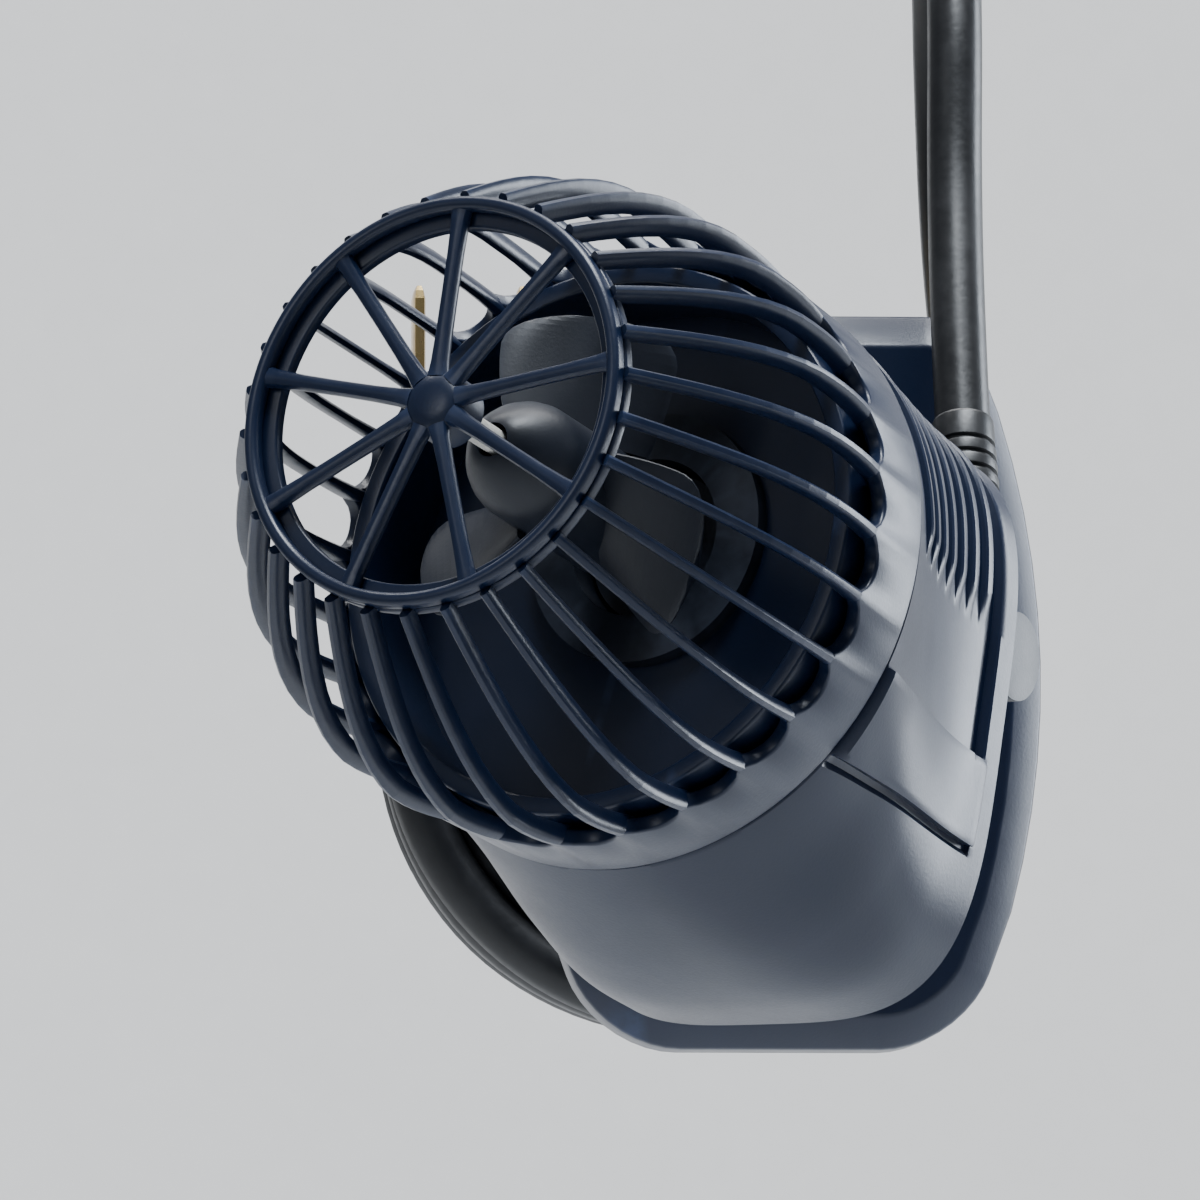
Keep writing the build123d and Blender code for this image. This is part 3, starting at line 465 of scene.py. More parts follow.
# %% Helpers for making pieces
TO_PUMP = Matrix((SIDE, UP, FORWARD)).transposed().to_4x4()
TO_PUMP.translation = PIVOT
TO_PUMP = TO_PUMP @ Matrix.Scale(MM, 4)
TO_ROW = Matrix.Scale(MM, 4)


def piece(name, mesh_in, body, slot, nodes=(), place=TO_PUMP, sharp=38):
    bmesh.ops.transform(mesh_in, matrix=place, verts=mesh_in.verts[:])
    bmesh.ops.recalc_face_normals(mesh_in, faces=mesh_in.faces[:])
    mesh = bpy.data.meshes.new(name)
    mesh_in.to_mesh(mesh)
    mesh_in.free()
    mesh.shade_smooth()
    mesh.set_sharp_from_angle(angle=math.radians(sharp))
    mesh.materials.append(finishes[slot].material)
    made = bpy.data.objects.new(name, mesh)
    bpy.context.scene.collection.objects.link(made)
    if body:
        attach(made, body)
    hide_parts(*nodes)
    print(name, len(mesh.polygons), "faces")
    return made


def rounded_outline(w, h, power=4.0, points=16):
    """An outline between an ellipse, at power 2, and a rectangle."""
    outline = []
    for point in range(points):
        turn = 2 * math.pi * (point + 0.5) / points
        c, s = math.cos(turn), math.sin(turn)
        r = (abs(c) ** power + abs(s) ** power) ** (-1 / power)
        outline.append((w / 2 * r * c, h / 2 * r * s))
    return outline


def run_through(bm, outline, places):
    """Extrudes an outline through a row of matrices. Both ends are closed."""
    face = bm.faces.new([bm.verts.new(places[0] @ Vector((x, y, 0))) for x, y in outline])
    for before, now in zip(places, places[1:]):
        new = bmesh.ops.extrude_face_region(bm, geom=[face])["geom"]
        corners = [g for g in new if isinstance(g, bmesh.types.BMVert)]
        face = next(g for g in new if isinstance(g, bmesh.types.BMFace))
        bmesh.ops.transform(bm, matrix=now @ before.inverted(), verts=corners)


def spun(bm, profile, steps=96, place=Matrix.Identity(4)):
    """Turns a profile of (radius, z) about z. One that starts on the axis ends on it, and makes
    a solid; any other is closed into a ring. The place is where the axis goes."""
    corners = [bm.verts.new((r, 0, z)) for r, z in profile]
    solid = profile[0][0] == 0
    pairs = list(zip(corners, corners[1:]))
    if not solid:
        pairs.append((corners[-1], corners[0]))
    edges = [bm.edges.new(pair) for pair in pairs]
    known = set(bm.verts) - set(corners)
    bmesh.ops.spin(
        bm, geom=corners + edges, cent=(0, 0, 0), axis=(0, 0, 1), angle=2 * math.pi,
        steps=steps, use_merge=True,
    )
    made = [v for v in bm.verts if v not in known]
    if solid:
        bmesh.ops.remove_doubles(bm, verts=made, dist=0.0001)
        made = [v for v in bm.verts if v not in known]
    bmesh.ops.transform(bm, matrix=place, verts=made)


def box_profile(r_in, r_out, z_low, z_high, soft, cuts=3):
    """A rectangle of (radius, z) with its corners rounded off by soft."""
    profile = []
    corners = (r_out, z_high, 0), (r_in, z_high, 90), (r_in, z_low, 180), (r_out, z_low, 270)
    for r, z, start in corners:
        r_mid = r - soft if r == r_out else r + soft
        z_mid = z - soft if z == z_high else z + soft
        for cut in range(cuts + 1):
            turn = math.radians(start + 90 * cut / cuts)
            profile.append((r_mid + soft * math.cos(turn), z_mid + soft * math.sin(turn)))
    return profile


print("outline of", len(rounded_outline(1, 1)), "points")

# %% [markdown]
# ## Intake cage
# Thirty thin ribs curve from the motor up to the outlet ring, and water is drawn in between
# them. The cage bulges: it is widest a third of the way along, and its middle hangs a little
# under the pump's axis. Each rib is one rounded outline run through a dozen places on that
# bulging surface, so its edges catch the light as moulded plastic does.

# %% The cage's bulge
RING_Z, BELLY_Z, WINDOW_Z, FRONT_Z = 95.0, 65.0, 53.0, 44.0
RING_R, BELLY_R, COLLAR_R = 24.4, 37.5, 36.0
DROP = 3.5
RIBS, RIB_W, RIB_T, WALL = 30, 1.3, 2.6, 2.0


def belly(z):
    if z >= BELLY_Z:
        share = (RING_Z - z) / (RING_Z - BELLY_Z)
        return RING_R + (BELLY_R - RING_R) * math.sin(share * math.pi / 2)
    share = min(1.0, (BELLY_Z - z) / (BELLY_Z - WINDOW_Z))
    return BELLY_R - (BELLY_R - COLLAR_R) * share ** 2


def on_cage(z, angle, depth=0.0):
    """A place on the cage's skin, or a depth inside it, in the pump's millimetres."""
    low = DROP * min(1.0, (RING_Z - z) / (RING_Z - BELLY_Z))
    reach = math.sqrt(belly(z) ** 2 - (low * math.cos(angle)) ** 2) - low * math.sin(angle)
    return Vector(((reach - depth) * math.cos(angle), (reach - depth) * math.sin(angle), z))


print("cage radius", [round(belly(z), 1) for z in (53, 65, 80, 92)])

# %% [markdown]
# The windows between the ribs end in round corners at the collar, because a mould can't cut a
# sharp one cleanly. So the collar is a spun tube whose front edge is pushed forward near each
# rib: deepest in the middle of a window, and highest where it meets the rib.

# %% Ribs, collar and the seat for the grille
cage = bmesh.new()
for rib in range(RIBS):
    angle = 2 * math.pi * (rib + 0.5) / RIBS
    outward = Vector((math.cos(angle), math.sin(angle), 0))
    across = Vector((-outward.y, outward.x, 0))
    places = []
    for z in (51.2, 52.6, 54, 56, 58, 60.5, 63, 65.5, 68, 71, 74, 77, 80, 83, 86, 89, 91.5, 93.2):
        here = on_cage(z, angle, RIB_T / 2)
        along = (on_cage(z + 0.4, angle) - on_cage(z - 0.4, angle)).normalized()
        wide = RIB_W * (1.0 + 0.35 * max(0.0, (60 - z) / 9))
        axes = Matrix((across * wide, along.cross(across) * RIB_T, along)).transposed().to_4x4()
        axes.translation = here
        places.append(axes)
    run_through(cage, rounded_outline(1, 1, 3.2, 14), places)

WINDOW_HALF = math.pi / RIBS * 0.86
collar = bmesh.new()
spun(collar, box_profile(COLLAR_R - WALL, COLLAR_R, FRONT_Z + 0.3, WINDOW_Z, 0.45), 360)
for v in collar.verts:
    angle = math.atan2(v.co.y, v.co.x)
    depth = COLLAR_R - math.hypot(v.co.x, v.co.y)
    off_middle = abs((angle / (2 * math.pi / RIBS) + 0.5) % 1.0 - 0.5) * 2 * math.pi / RIBS
    share = min(1.0, off_middle / WINDOW_HALF)
    scallop = 3.0 * (1 - math.sqrt(max(0.0, 1 - share ** 2)))
    z = v.co.z + scallop * max(0.0, (v.co.z - FRONT_Z - 3) / (WINDOW_Z - FRONT_Z - 3))
    v.co = on_cage(z, angle, depth)
collar_mesh = bpy.data.meshes.new("collar")
collar.to_mesh(collar_mesh)
collar.free()
cage.from_mesh(collar_mesh)
bpy.data.meshes.remove(collar_mesh)
spun(cage, box_profile(RING_R - 3.2, RING_R, 91.2, 92.8, 0.3), 120)
piece("cage_ribs", cage, "cage", "body_plastic", ["intake_cage"])

# %% [markdown]
# The outlet grille is a rounded ring with nine spokes and a hub that holds the shaft's front
# end. The spokes are narrow, rounded in front and deeper than they are wide.

# %% Outlet grille
SPOKES, HUB_R, HUB_T = 9, 4.0, 6.0
grille = bmesh.new()
spun(grille, box_profile(RING_R - 1.6, RING_R, RING_Z - 2.2, RING_Z, 0.7, 5), 144)
for spoke in range(SPOKES):
    angle = math.radians(90) + 2 * math.pi * spoke / SPOKES
    outward = Vector((math.cos(angle), math.sin(angle), 0))
    across = Vector((-outward.y, outward.x, 0))
    places = []
    for r, wide in ((HUB_R - 1.0, 2.6), (HUB_R + 0.8, 2.1), (8, 1.85), (13, 1.75), (18, 1.8),
                    (21.5, 2.1), (RING_R - 1.0, 2.6)):
        axes = Matrix((across * wide, Vector((0, 0, -1.9)), outward)).transposed().to_4x4()
        axes.translation = outward * r + Vector((0, 0, RING_Z - 1.35))
        places.append(axes)
    run_through(grille, rounded_outline(1, 1, 2.6, 12), places)
hub_profile = [(0, RING_Z - 0.05), (1.6, RING_Z - 0.12), (2.8, RING_Z - 0.4), (3.6, RING_Z - 1.0),
               (HUB_R, RING_Z - 1.9), (HUB_R, RING_Z - HUB_T + 0.4), (HUB_R - 0.4, RING_Z - HUB_T),
               (HUB_R - 1.0, RING_Z - HUB_T), (HUB_R - 1.0, RING_Z - 2.0), (0, RING_Z - 2.0)]
spun(grille, hub_profile, 48)
piece("grille_spokes", grille, "cage", "body_plastic", ["outlet_grille"])

# %% [markdown]
# ## Propeller
# Three wide blades with a twist, as on a boat. Each is a flat leaf-shaped outline that grows
# and turns as it runs from the hub out to the tip. The tip is drawn in over the last steps, so
# that its corners come out round.

# %% Propeller
PROP_Z, PROP_HUB_R, PROP_HUB_L, PROP_R = 53.0, 7.0, 20.0, 21.0
blades = bmesh.new()
for blade in range(3):
    angle = math.radians(90 + 120 * blade)
    outward = Vector((math.cos(angle), math.sin(angle), 0))
    across = Vector((-outward.y, outward.x, 0))
    places = []
    for step in range(15):
        share = step / 14
        r = PROP_HUB_R - 1.4 + (PROP_R - 0.3 - PROP_HUB_R + 1.4) * math.sin(share * math.pi / 2)
        twist = math.radians(46 - 20 * (r - PROP_HUB_R) / (PROP_R - PROP_HUB_R))
        chord = (14 + 6.5 * math.sin(min(1.0, r / PROP_R) * math.pi * 0.62))
        chord *= math.sqrt(max(0.04, 1 - max(0.0, (r - PROP_R + 5.5) / 5.4) ** 2.6))
        thick = 2.3 - 1.2 * r / PROP_R
        wide = Vector((0, 0, math.sin(twist))) + across * math.cos(twist)
        axes = Matrix((wide * chord, wide.cross(outward) * thick, outward)).transposed().to_4x4()
        axes.translation = outward * r + Vector((0, 0, PROP_Z + PROP_HUB_L / 2))
        places.append(axes)
    run_through(blades, rounded_outline(1, 1, 2.3, 20), places)
nose = PROP_Z + PROP_HUB_L
hub_profile = [(5.2, PROP_Z), (PROP_HUB_R - 0.5, PROP_Z), (PROP_HUB_R, PROP_Z + 0.5),
               (PROP_HUB_R, nose), (6.7, nose + 1.6), (6.0, nose + 3.4), (4.9, nose + 5.2),
               (3.6, nose + 6.8), (2.6, nose + 7.7), (2.05, nose + 7.9), (2.05, nose - 8.0), (5.2, nose - 8.0)]
spun(blades, hub_profile, 72)
piece("propeller_blades", blades, "rotor", "works_plastic", ["propeller"])

# %% [markdown]
# ## Motor housing
# The housing is round where it meets the cage and flat-sided at the back. Seven cooling ridges
# cross its upper part, and its flank carries a raised band with a crisp top edge, a groove under
# it, and a sunk panel beside the rear lip. All of this is one skin. So a ring-shaped shell is
# spun, fine enough for the ridges, and each of its points is moved out to the housing's outline,
# plus the height of whatever stands there.

# %% The housing's outline along the axis
# place along the axis, half width, half height, squareness, drop under the axis
STATIONS = [(6.0, 27.0, 35.0, 3.65, 11.0), (15.0, 27.0, 35.0, 3.65, 11.0),
            (24.0, 28.5, 35.3, 3.05, 9.4), (34.0, 31.5, 35.75, 2.36, 6.5),
            (44.0, 35.6, 35.6, 2.0, 3.5)]


def housing_sizes(z):
    """The outline's sizes at a place along the axis, on a smooth curve through the stations."""
    z = min(max(z, STATIONS[0][0]), STATIONS[-1][0])
    index = max(n for n in range(len(STATIONS) - 1) if z >= STATIONS[n][0])
    last = len(STATIONS) - 1
    row = [STATIONS[min(max(n, 0), last)] for n in range(index - 1, index + 3)]
    span = row[2][0] - row[1][0]
    t = (z - row[1][0]) / span
    sizes = []
    for a, b, c, d in zip(*[entry[1:] for entry in row]):
        start = (c - a) / (row[2][0] - row[0][0]) * span
        end = (d - b) / (row[3][0] - row[1][0]) * span
        sizes.append(b * (2 * t**3 - 3 * t**2 + 1) + start * (t**3 - 2 * t**2 + t)
                     + c * (3 * t**2 - 2 * t**3) + end * (t**3 - t**2))
    return sizes


def step_up(value, low, high):
    """0 below low, 1 above high, and smooth between."""
    share = min(1.0, max(0.0, (value - low) / (high - low)))
    return share * share * (3 - 2 * share)


RIDGES, RIDGE_Z, RIDGE_PITCH = 7, 13.0, 3.8
RIDGE_SHAPE = [(0.0, 0.0), (0.14, 0.6), (0.45, 0.86), (1.0, 0.9), (1.55, 0.86), (1.86, 0.6),
               (2.0, 0.0), (2.5, -0.05), (3.1, -0.05), (3.6, 0.0)]
heights = {}
for ridge in range(RIDGES):
    for ahead, height in RIDGE_SHAPE:
        heights[round(RIDGE_Z + ridge * RIDGE_PITCH + ahead, 3)] = height


# The flank's own lines run along the pump: (turn in the spun shell, level, height there)
FLANK = [(-37, -29.0, 0.0), (-35, -27.6, 0.0), (-34, -27.2, -0.75), (-33, -26.5, -0.75),
         (-32, -26.1, 0.8), (-31, -25.6, 0.9), (-14, -16.6, 0.9), (-13, -16.0, 0.8),
         (-12, -15.7, 0.0)]
PANEL_TOP, RIDGE_FOOT = 30.0, -1.5


def outline_r(angle, sizes):
    c, s = abs(math.cos(angle) / sizes[0]), abs(math.sin(angle) / sizes[1])
    return (c ** sizes[2] + s ** sizes[2]) ** (-1 / sizes[2])


def angle_at(level, sizes):
    """The angle on the right flank at which the outline reaches a level."""
    low, high = -math.pi / 2, math.pi / 2
    for _ in range(30):
        middle = (low + high) / 2
        if outline_r(middle, sizes) * math.sin(middle) - sizes[3] < level:
            low = middle
        else:
            high = middle
    return low


def piecewise(value, knots):
    for (a, at_a), (b, at_b) in zip(knots, knots[1:]):
        if a <= value <= b:
            return at_a + (at_b - at_a) * (value - a) / (b - a)
    return 0.0


def relief(z, y):
    """How far the skin stands out from the plain outline at a place on it."""
    ridge = heights.get(round(z, 3), 0.0) * step_up(y, RIDGE_FOOT, RIDGE_FOOT + 4.5)
    along = step_up(z, 9.4, 9.9) * (1 - step_up(z, 42.6, 44.0))
    flank = along * piecewise(y, [(level, height) for _, level, height in FLANK])
    panel = -1.2 * step_up(z, 9.4, 9.8) * (1 - step_up(z, 12.6, 13.0))
    panel *= step_up(y, -16.1, -15.7) * (1 - step_up(y, PANEL_TOP, PANEL_TOP + 4))
    return ridge + flank + panel


print("outline sizes at 20 mm", [round(v, 1) for v in housing_sizes(20)])

# %% The housing's shell
# A skin point is drawn this far out, less its depth under the skin, until it is moved.
SKIN_CODE = 100.0
outer_z = [6.25, 6.6, 7.4, 8.4, 9.2, 9.5, 9.8, 10.2, 11.2, 12.3, 12.7, 12.9]
outer_z += sorted(heights) + [39.7, 40.6, 41.6, 42.6, 43.2, 43.6]
shell = [(SKIN_CODE, z) for z in outer_z]
shell += [(SKIN_CODE - 0.2, 43.85), (SKIN_CODE - 0.8, 44.0)]
shell += [(33.0, 44.0), (26.0, 44.0), (18.0, 44.0), (10.9, 44.0), (10.75, 43.8), (10.75, 42.2),
          (10.9, 42.0), (18.0, 42.0), (26.0, 42.0), (31.5, 42.0)]
shell += [(SKIN_CODE - WALL, z) for z in (41.3, 38, 34, 30, 26, 22, 18, 14, 10.0, 6.6)]
shell += [(SKIN_CODE - 1.75, 6.15), (SKIN_CODE - 1.4, 6.0), (SKIN_CODE - 0.6, 6.0),
          (SKIN_CODE - 0.25, 6.08)]
housing = bmesh.new()
spun(housing, shell, 360)
QUARTER = math.pi / 2
knots_at = {}
for v in housing.verts:
    spun_angle = math.atan2(v.co.y, v.co.x)
    r, z = math.hypot(v.co.x, v.co.y), round(v.co.z, 3)
    sizes = housing_sizes(z)
    if r > SKIN_CODE / 2:  # a point of the skin, and not of the front wall
        if z not in knots_at:
            knots = [(math.radians(turn), angle_at(level, sizes)) for turn, level, _ in FLANK]
            knots_at[z] = [(-QUARTER, -QUARTER), *knots, (QUARTER, QUARTER)]
        left = abs(spun_angle) > QUARTER
        folded = math.copysign(math.pi - abs(spun_angle), spun_angle) if left else spun_angle
        angle = piecewise(folded, knots_at[z])
        inset = SKIN_CODE - r
        r = outline_r(angle, sizes) - inset
        low = sizes[3]
        if inset < 0.5:
            r += relief(z, r * math.sin(angle) - low)
        angle = math.pi - angle if left else angle
    else:
        angle = spun_angle
        low = sizes[3] * step_up(r, 12, 33)
    v.co = (r * math.cos(angle), r * math.sin(angle) - low, v.co.z)
SPIGOT_R = COLLAR_R - RIB_T - 0.3
SPIGOT_END = FRONT_Z + 12.0
spigot = Matrix.Translation((0, -DROP, 0))
spun(housing, box_profile(SPIGOT_R - 2.2, SPIGOT_R, 43.8, SPIGOT_END, 0.4), 180, spigot)
piece("housing_shell", housing, "head", "body_plastic", ["motor_housing"], sharp=30)

# %% [markdown]
# ## Magnet mount
# Each half is a plate with bowed sides, tighter corners at the top than at the foot, and a wide
# bevel round its face. The outline is laid out as a few points, its corners are rounded with
# a vertex bevel, and the face is extruded and bevelled along its rim. Small second bevels soften
# the two edges that this leaves, which is what catches the light round the plate.

# %% The two plates
PLATE_W, PLATE_H, SIDE_R = 62.0, 87.0, 105.0
PAD_T, MOUNT_T, BEVEL = 1.5, 14.0, 3.8
GLASS = 10.0
DRY_W, DRY_H = 56.0, 78.0


def plate(name, w, h, body, node, outward, start):
    """A plate whose back is at start and whose face is further out from the glass."""
    half_w, half_h = w / 2, h / 2
    depth = MOUNT_T - PAD_T
    centre_x = half_w - SIDE_R
    corner_x = centre_x + math.sqrt(SIDE_R ** 2 - half_h ** 2)
    top_r, low_r = 4.5, 9.5
    right = [(corner_x, half_h)]
    for step in range(1, 12):
        z = half_h - top_r - 1 - step * (2 * half_h - top_r - low_r - 2) / 12
        right.append((centre_x + math.sqrt(SIDE_R ** 2 - z ** 2), z))
    right.append((corner_x, -half_h))
    outline = right + [(-x, z) for x, z in reversed(right)]
    bm = bmesh.new()
    corners = [bm.verts.new((x, outward * start, z)) for x, z in outline]
    bm.faces.new(corners)
    for found, r in ((half_h, top_r), (-half_h, low_r)):
        sharp = [v for v in bm.verts if abs(v.co.z - found) < 1e-4]
        bmesh.ops.bevel(
            bm, geom=sharp, offset=r * 1.02, offset_type="OFFSET", affect="VERTICES", segments=9,
            profile=0.5, material=-1,
        )
    new = bmesh.ops.extrude_face_region(bm, geom=bm.faces[:])["geom"]
    front = next(g for g in new if isinstance(g, bmesh.types.BMFace))
    bmesh.ops.translate(bm, vec=(0, outward * depth, 0), verts=front.verts[:])
    bmesh.ops.bevel(
        bm, geom=front.edges[:], offset=BEVEL, offset_type="OFFSET", affect="EDGES",
        segments=1, profile=0.5, material=-1,
    )
    bmesh.ops.recalc_face_normals(bm, faces=bm.faces[:])
    rims = [e for e in bm.edges if e.calc_face_angle(0) > math.radians(30)
            and abs((e.verts[0].co - e.verts[1].co).y) < 1e-4]
    bmesh.ops.bevel(
        bm, geom=rims, offset=min(0.45, depth / 4), offset_type="OFFSET", affect="EDGES",
        segments=3, profile=0.5, material=-1,
    )
    return piece(name, bm, body, "body_plastic", [node], TO_ROW)


plate("wet_plate", PLATE_W, PLATE_H, "mount", "mount_shell", -1, PAD_T)
plate("dry_plate", DRY_W, DRY_H, "dry_side", "dry_shell", 1, GLASS + PAD_T)

# %% [markdown]
# ## Pieces kept from the model, with softer edges
# The bracket, the joint's block and gland, the rear cover, the lids and pads have the right
# shapes already. What gives them away is that their edges are perfectly sharp. The model's own
# meshes stay as they are, so each is copied, its split corners are merged, and a narrow bevel
# goes on every edge that turns more than 35 degrees.


# %% Softened copies
def softened(node, slot, width=0.3, segments=3):
    owner = frame["nodes"][node]
    bm = bmesh.new()
    bm.from_mesh(owner.data)
    bmesh.ops.remove_doubles(bm, verts=bm.verts[:], dist=0.000002)
    bmesh.ops.dissolve_limit(
        bm, angle_limit=math.radians(0.6), verts=bm.verts[:], edges=bm.edges[:],
    )
    bmesh.ops.recalc_face_normals(bm, faces=bm.faces[:])
    sharp = [e for e in bm.edges if e.is_manifold and e.calc_face_angle(0) > math.radians(35)]
    bmesh.ops.bevel(
        bm, geom=sharp, offset=width * MM, offset_type="OFFSET", affect="EDGES", segments=segments,
        profile=0.5, material=-1, clamp_overlap=True,
    )
    return piece(
        node + "_soft", bm, owner["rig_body"], slot, [node], Matrix.Identity(4), sharp=40,
    )


for node, slot, width in (
    ("hinge_bracket", "body_plastic", 0.45), ("rear_cover", "body_plastic", 0.35),
    ("swivel_block", "works_plastic", 0.3), ("cable_gland", "works_plastic", 1.4),
    ("trunnion_cap", "works_plastic", 0.9), ("wet_pad", "pad_rubber", 0.3),
    ("dry_pad", "pad_rubber", 0.3), ("wet_lid", "lid_plastic", 0.25),
    ("dry_lid", "lid_plastic", 0.25), ("yaw_pin", "stainless", 0.25),
    ("bracket_screws", "stainless", 0.12), ("cover_screws", "stainless", 0.12),
):
    softened(node, slot, width)

# %% [markdown]
# ## Strain relief
# The cord would crease where it leaves the gland, so a soft ribbed sleeve carries it for the
# first twenty millimetres. Grooves cut across it every two millimetres let it bend, and it gets
# thinner towards its end. It is a solid of revolution, so its profile is spun.

# %% The sleeve at the gland
RELIEF_L, RELIEF_R = 20.0, 4.3
LEAN = math.radians(26.8)
exit_along = Vector((0, math.sin(LEAN), math.cos(LEAN)))
gland_tip = Vector(EXIT) - exit_along * RELIEF_L


def ribbed_profile(length, r_start, r_end, groove=0.45, pitch=2.0):
    """A solid sleeve's profile from one end of its axis to the other, with grooves across it."""
    profile = [(0, 0), (r_start - 0.3, 0), (r_start, 0.3)]
    count = int((length - 2.5) / pitch)
    for number in range(count):
        z = 2.0 + number * pitch
        r = r_start + (r_end - r_start) * z / length
        profile += [(r, z - 0.45), (r - 0.08, z - 0.15), (r - groove, z), (r - groove, z + 0.4),
                    (r - 0.1, z + 0.55)]
    profile += [(r_end, length - 0.5), (r_end - 0.12, length - 0.15), (r_end - 0.35, length),
                (0, length)]
    return profile


sleeve = bmesh.new()
stand = exit_along.to_track_quat("Z", "Y").to_matrix().to_4x4()
stand.translation = gland_tip
spun(sleeve, ribbed_profile(RELIEF_L, RELIEF_R, CORD_D / 2 + 0.4), 64, stand)
piece("relief_sleeve", sleeve, "swivel", "cord_jacket", ["strain_relief"], TO_ROW)

# %% [markdown]
# ## Plug and tie
# The plug is a tapered grip with finger ridges, its own short sleeve, and two flat blades with
# chamfered tips. The tie is a band of hook tape that runs once round the bundle. It is spun as a
# ring and then pushed out to the bundle's flat-sided outline, as the housing was.

# %% Plug
PLUG_SLEEVE_L, PLUG_L, PIN_GAP = 10.0, 20.0, 12.7
grip = bmesh.new()
places = []
for z, w, h in (
    (0, 13.0, 11.2), (0.6, 14.0, 12.0), (3, 15.4, 12.7), (4, 16.2, 13.1), (4.6, 15.6, 12.6),
    (5.4, 15.8, 12.7), (6, 17.0, 13.5), (7, 17.6, 13.8), (7.6, 16.9, 13.2), (8.4, 17.1, 13.4),
    (9, 18.3, 14.2), (10, 18.9, 14.5), (10.6, 18.2, 13.9), (11.4, 18.6, 14.1),
    (12.2, 20.0, 15.0), (16, 20.0, 15.0), (19.2, 20.0, 15.0), (19.8, 19.6, 14.6),
    (20, 18.8, 13.8),
):
    places.append(Matrix.Translation((0, 0, PLUG_SLEEVE_L + z)) @ Matrix.Diagonal((w, h, 1, 1)))
run_through(grip, rounded_outline(1, 1, 4.5, 48), places)
plug_place = TO_ROW @ Matrix.Translation(plug_start)
plug_grip = piece("plug_grip", grip, "mount", "plug_plastic", ["plug_body"], plug_place)
plug_sleeve = bmesh.new()
ribbed = ribbed_profile(PLUG_SLEEVE_L, CORD_D / 2 + 2.0, CORD_D / 2 + 0.4)
spun(plug_sleeve, [(r, PLUG_SLEEVE_L - z) for r, z in ribbed], 64)
plug_neck = piece("plug_neck", plug_sleeve, "mount", "plug_plastic", ["plug_relief"], plug_place)
pins = bmesh.new()
for way in (-1, 1):
    places = []
    for z, w, h in (
        (0.02, 1.5, 6.3), (13, 1.5, 6.3), (15.4, 1.5, 6.1), (16.4, 1.1, 5.4), (17, 0.6, 4.2),
    ):
        spot = Matrix.Translation((way * PIN_GAP / 2, 0, PLUG_SLEEVE_L + PLUG_L + z))
        places.append(spot @ Matrix.Diagonal((w, h, 1, 1)))
    run_through(pins, rounded_outline(1, 1, 9.0, 24), places)
plug_blades = piece(
    "plug_blades", pins, "mount", "plug_brass", ["plug_pins"], plug_place, sharp=25)

# %% Tie
TIE_T, TIE_W, TIE_R = 1.2, 8.0, 20.0
bundle_w, bundle_h = CORD_D * 3 + 0.4 + 2 * TIE_T, CORD_D * 2 + 1.0 + 2 * TIE_T
band = bmesh.new()
spun(band, box_profile(TIE_R, TIE_R + TIE_T, -TIE_W / 2, TIE_W / 2, 0.25, 2), 120)
for v in band.verts:
    angle = math.atan2(v.co.y, v.co.x)
    depth = TIE_R + TIE_T - math.hypot(v.co.x, v.co.y)
    c, s = math.cos(angle), math.sin(angle)
    r = (abs(c / (bundle_w / 2)) ** 6 + abs(s / (bundle_h / 2)) ** 6) ** (-1 / 6) - depth
    v.co = (v.co.z, r * c, r * s)
tie_place = Matrix.Translation((COIL_MIDDLE.x, COIL_MIDDLE.y + CORD_D * 1.5, COIL_MIDDLE.z + 32.5))
tie_band = piece("tie_band", band, "mount", "tie_fabric", ["cord_tie"], TO_ROW @ tie_place)

# %% [markdown]
# ## The cord
# The cord is plugged in behind the tank. Its tube is shaded smooth and given the jacket's
# finish, its place is baked into its mesh, and the model's own cord, coil and lead are hidden.

mains_cord.data.shade_smooth()
mains_cord.data.materials.append(finishes["cord_jacket"].material)
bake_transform(mains_cord)
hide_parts("power_cord", "cord_coil", "plug_lead")

# %% [markdown]
# ## Everything else
# The rest are inner pieces that keep the model's own shape: bearings, magnets, windings and
# seals. Each takes its finish by the name that the record gives it.

# %% Finishes for the model's own pieces
slots = {part["node"]: part["material_slot"] for part in frame["record"]["subparts"]}
for name, owner in frame["nodes"].items():
    owner.data.materials.clear()
    owner.data.materials.append(finishes[slots[name]].material)
    owner.data.shade_smooth()
    owner.data.set_sharp_from_angle(angle=math.radians(30))
print("model pieces", len(frame["nodes"]))

# %% [markdown]
# ## Stage and light
# A plain pale floor curves up into a plain pale wall. The wall hides the pump from a camera that
# is further back than it, so the pump is seen from the front and the sides only. Glossy dark
# plastic shows what is round it more than its own colour, so the lights are big soft panels: one
# on the right and a little behind, which the flat flank and the ribs mirror, one broad and
# weak on the left, one overhead for the edges of the mount, and one that lights the wall.

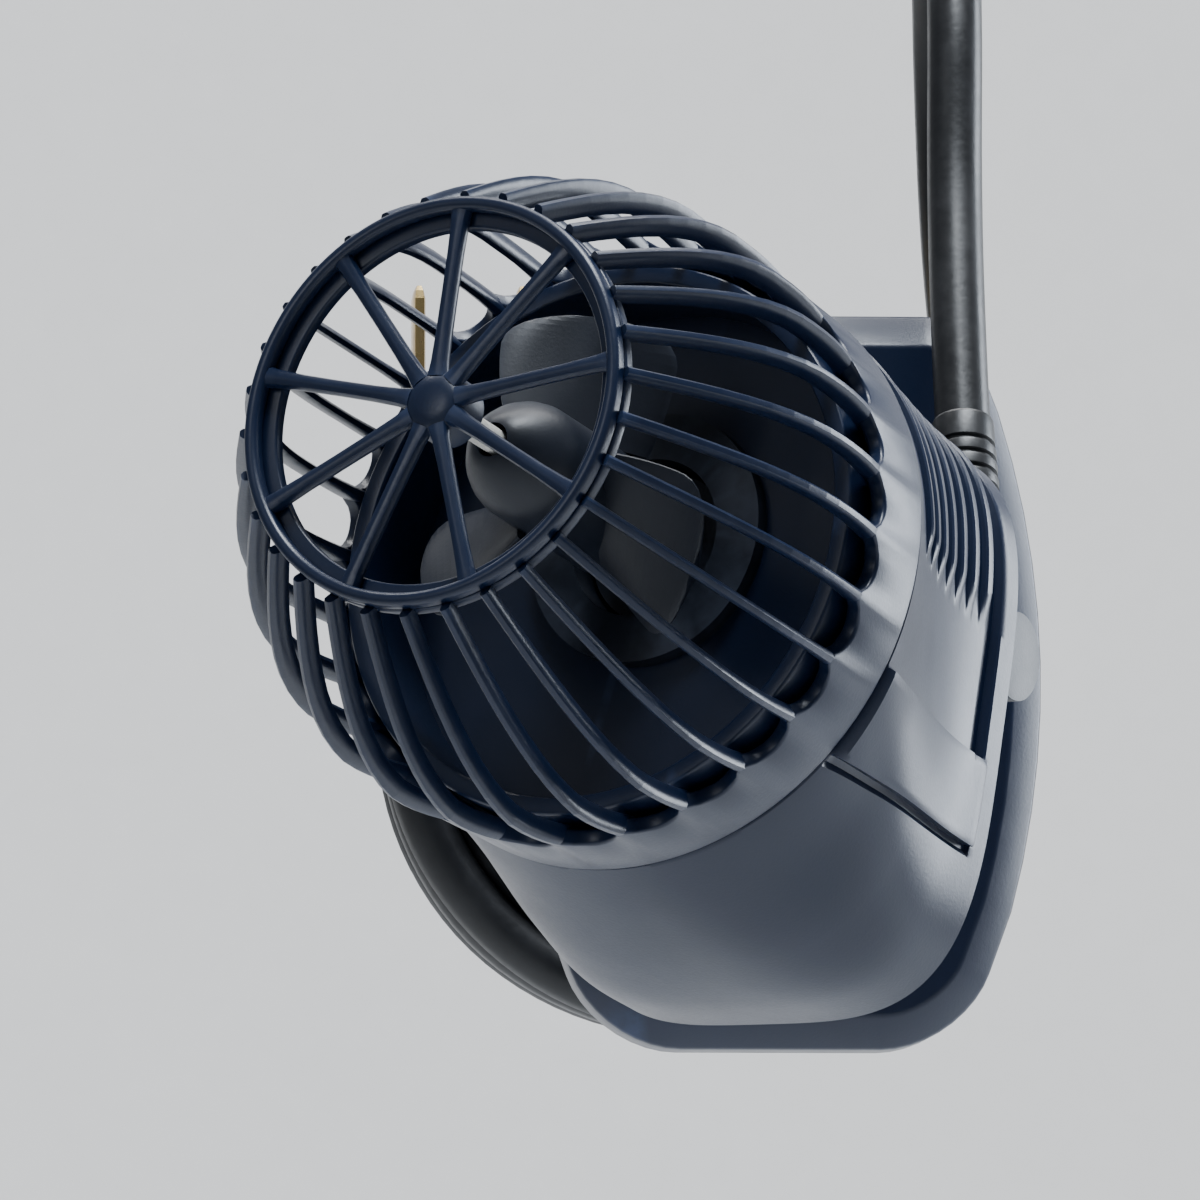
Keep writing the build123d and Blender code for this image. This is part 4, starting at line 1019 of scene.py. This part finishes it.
# %% Stage
sweep_bm = bmesh.new()
FLOOR_Z, WALL_Y, BEND_R, STAGE_HALF = -0.5, 3.4, 1.0, 5.0
outline = [(-STAGE_HALF, FLOOR_Z), (0.2, FLOOR_Z), (WALL_Y - BEND_R, FLOOR_Z)]
for step in range(1, 12):
    turn = math.radians(90 * step / 12)
    outline.append((
        WALL_Y - BEND_R + BEND_R * math.sin(turn), FLOOR_Z + BEND_R * (1 - math.cos(turn)),
    ))
outline += [(WALL_Y, FLOOR_Z + BEND_R), (WALL_Y, STAGE_HALF)]
row = [sweep_bm.verts.new((-STAGE_HALF, y, z)) for y, z in outline]
line = [sweep_bm.edges.new(pair) for pair in zip(row, row[1:])]
grown = bmesh.ops.extrude_edge_only(sweep_bm, edges=line)["geom"]
far_side = [g for g in grown if isinstance(g, bmesh.types.BMVert)]
bmesh.ops.translate(sweep_bm, vec=(2 * STAGE_HALF, 0, 0), verts=far_side)
bmesh.ops.recalc_face_normals(sweep_bm, faces=sweep_bm.faces[:])
stage_mesh = bpy.data.meshes.new("stage")
sweep_bm.to_mesh(stage_mesh)
sweep_bm.free()
stage_mesh.shade_smooth()
stage = bpy.data.objects.new("stage", stage_mesh)
bpy.context.scene.collection.objects.link(stage)
paper = Finish("paper")
fibre = paper.noise(90, 3.0, 0.6)
paper_tone = paper.between(fibre, (0.60, 0.61, 0.62, 1), (0.64, 0.65, 0.66, 1))
stage_mesh.materials.append(paper.finish(paper_tone, 0.85 + fibre * 0.05, fibre, 0.05).material)
print("stage", len(stage_mesh.polygons), "faces")


# %% Lights
def panel(name, place, aim_at, size, power, tint=(1, 1, 1)):
    data = bpy.data.lights.new(name, "AREA")
    data.shape = "RECTANGLE"
    data.size, data.size_y = size
    data.energy = power
    data.color = tint
    lamp = bpy.data.objects.new(name, data)
    bpy.context.scene.collection.objects.link(lamp)
    lamp.location = place
    lamp.rotation_mode = "QUATERNION"
    lamp.rotation_quaternion = (Vector(place) - Vector(aim_at)).to_track_quat("Z", "Y")


middle = (-0.02, -0.06, 0.0)
panel("right_panel", (1.05, 0.42, 0.16), middle, (0.5, 0.8), 18, (0.84, 0.91, 1.0))
panel("top_panel", (0.15, -0.25, 1.1), middle, (0.7, 0.3), 24, (0.88, 0.94, 1.0))
panel("left_panel", (-1.1, -1.1, 0.6), middle, (0.6, 0.6), 4, (0.93, 0.96, 1.0))
panel("wall_panel", (0.0, 1.0, 2.4), (0.0, 3.4, 0.1), (3.0, 1.0), 170)
world = bpy.data.worlds.new("studio")
bpy.context.scene.world = world
world.use_nodes = True
world.node_tree.nodes["Background"].inputs["Color"].default_value = (0.8, 0.86, 0.95, 1)
world.node_tree.nodes["Background"].inputs["Strength"].default_value = 0.2
print("lights", len(bpy.data.lights))
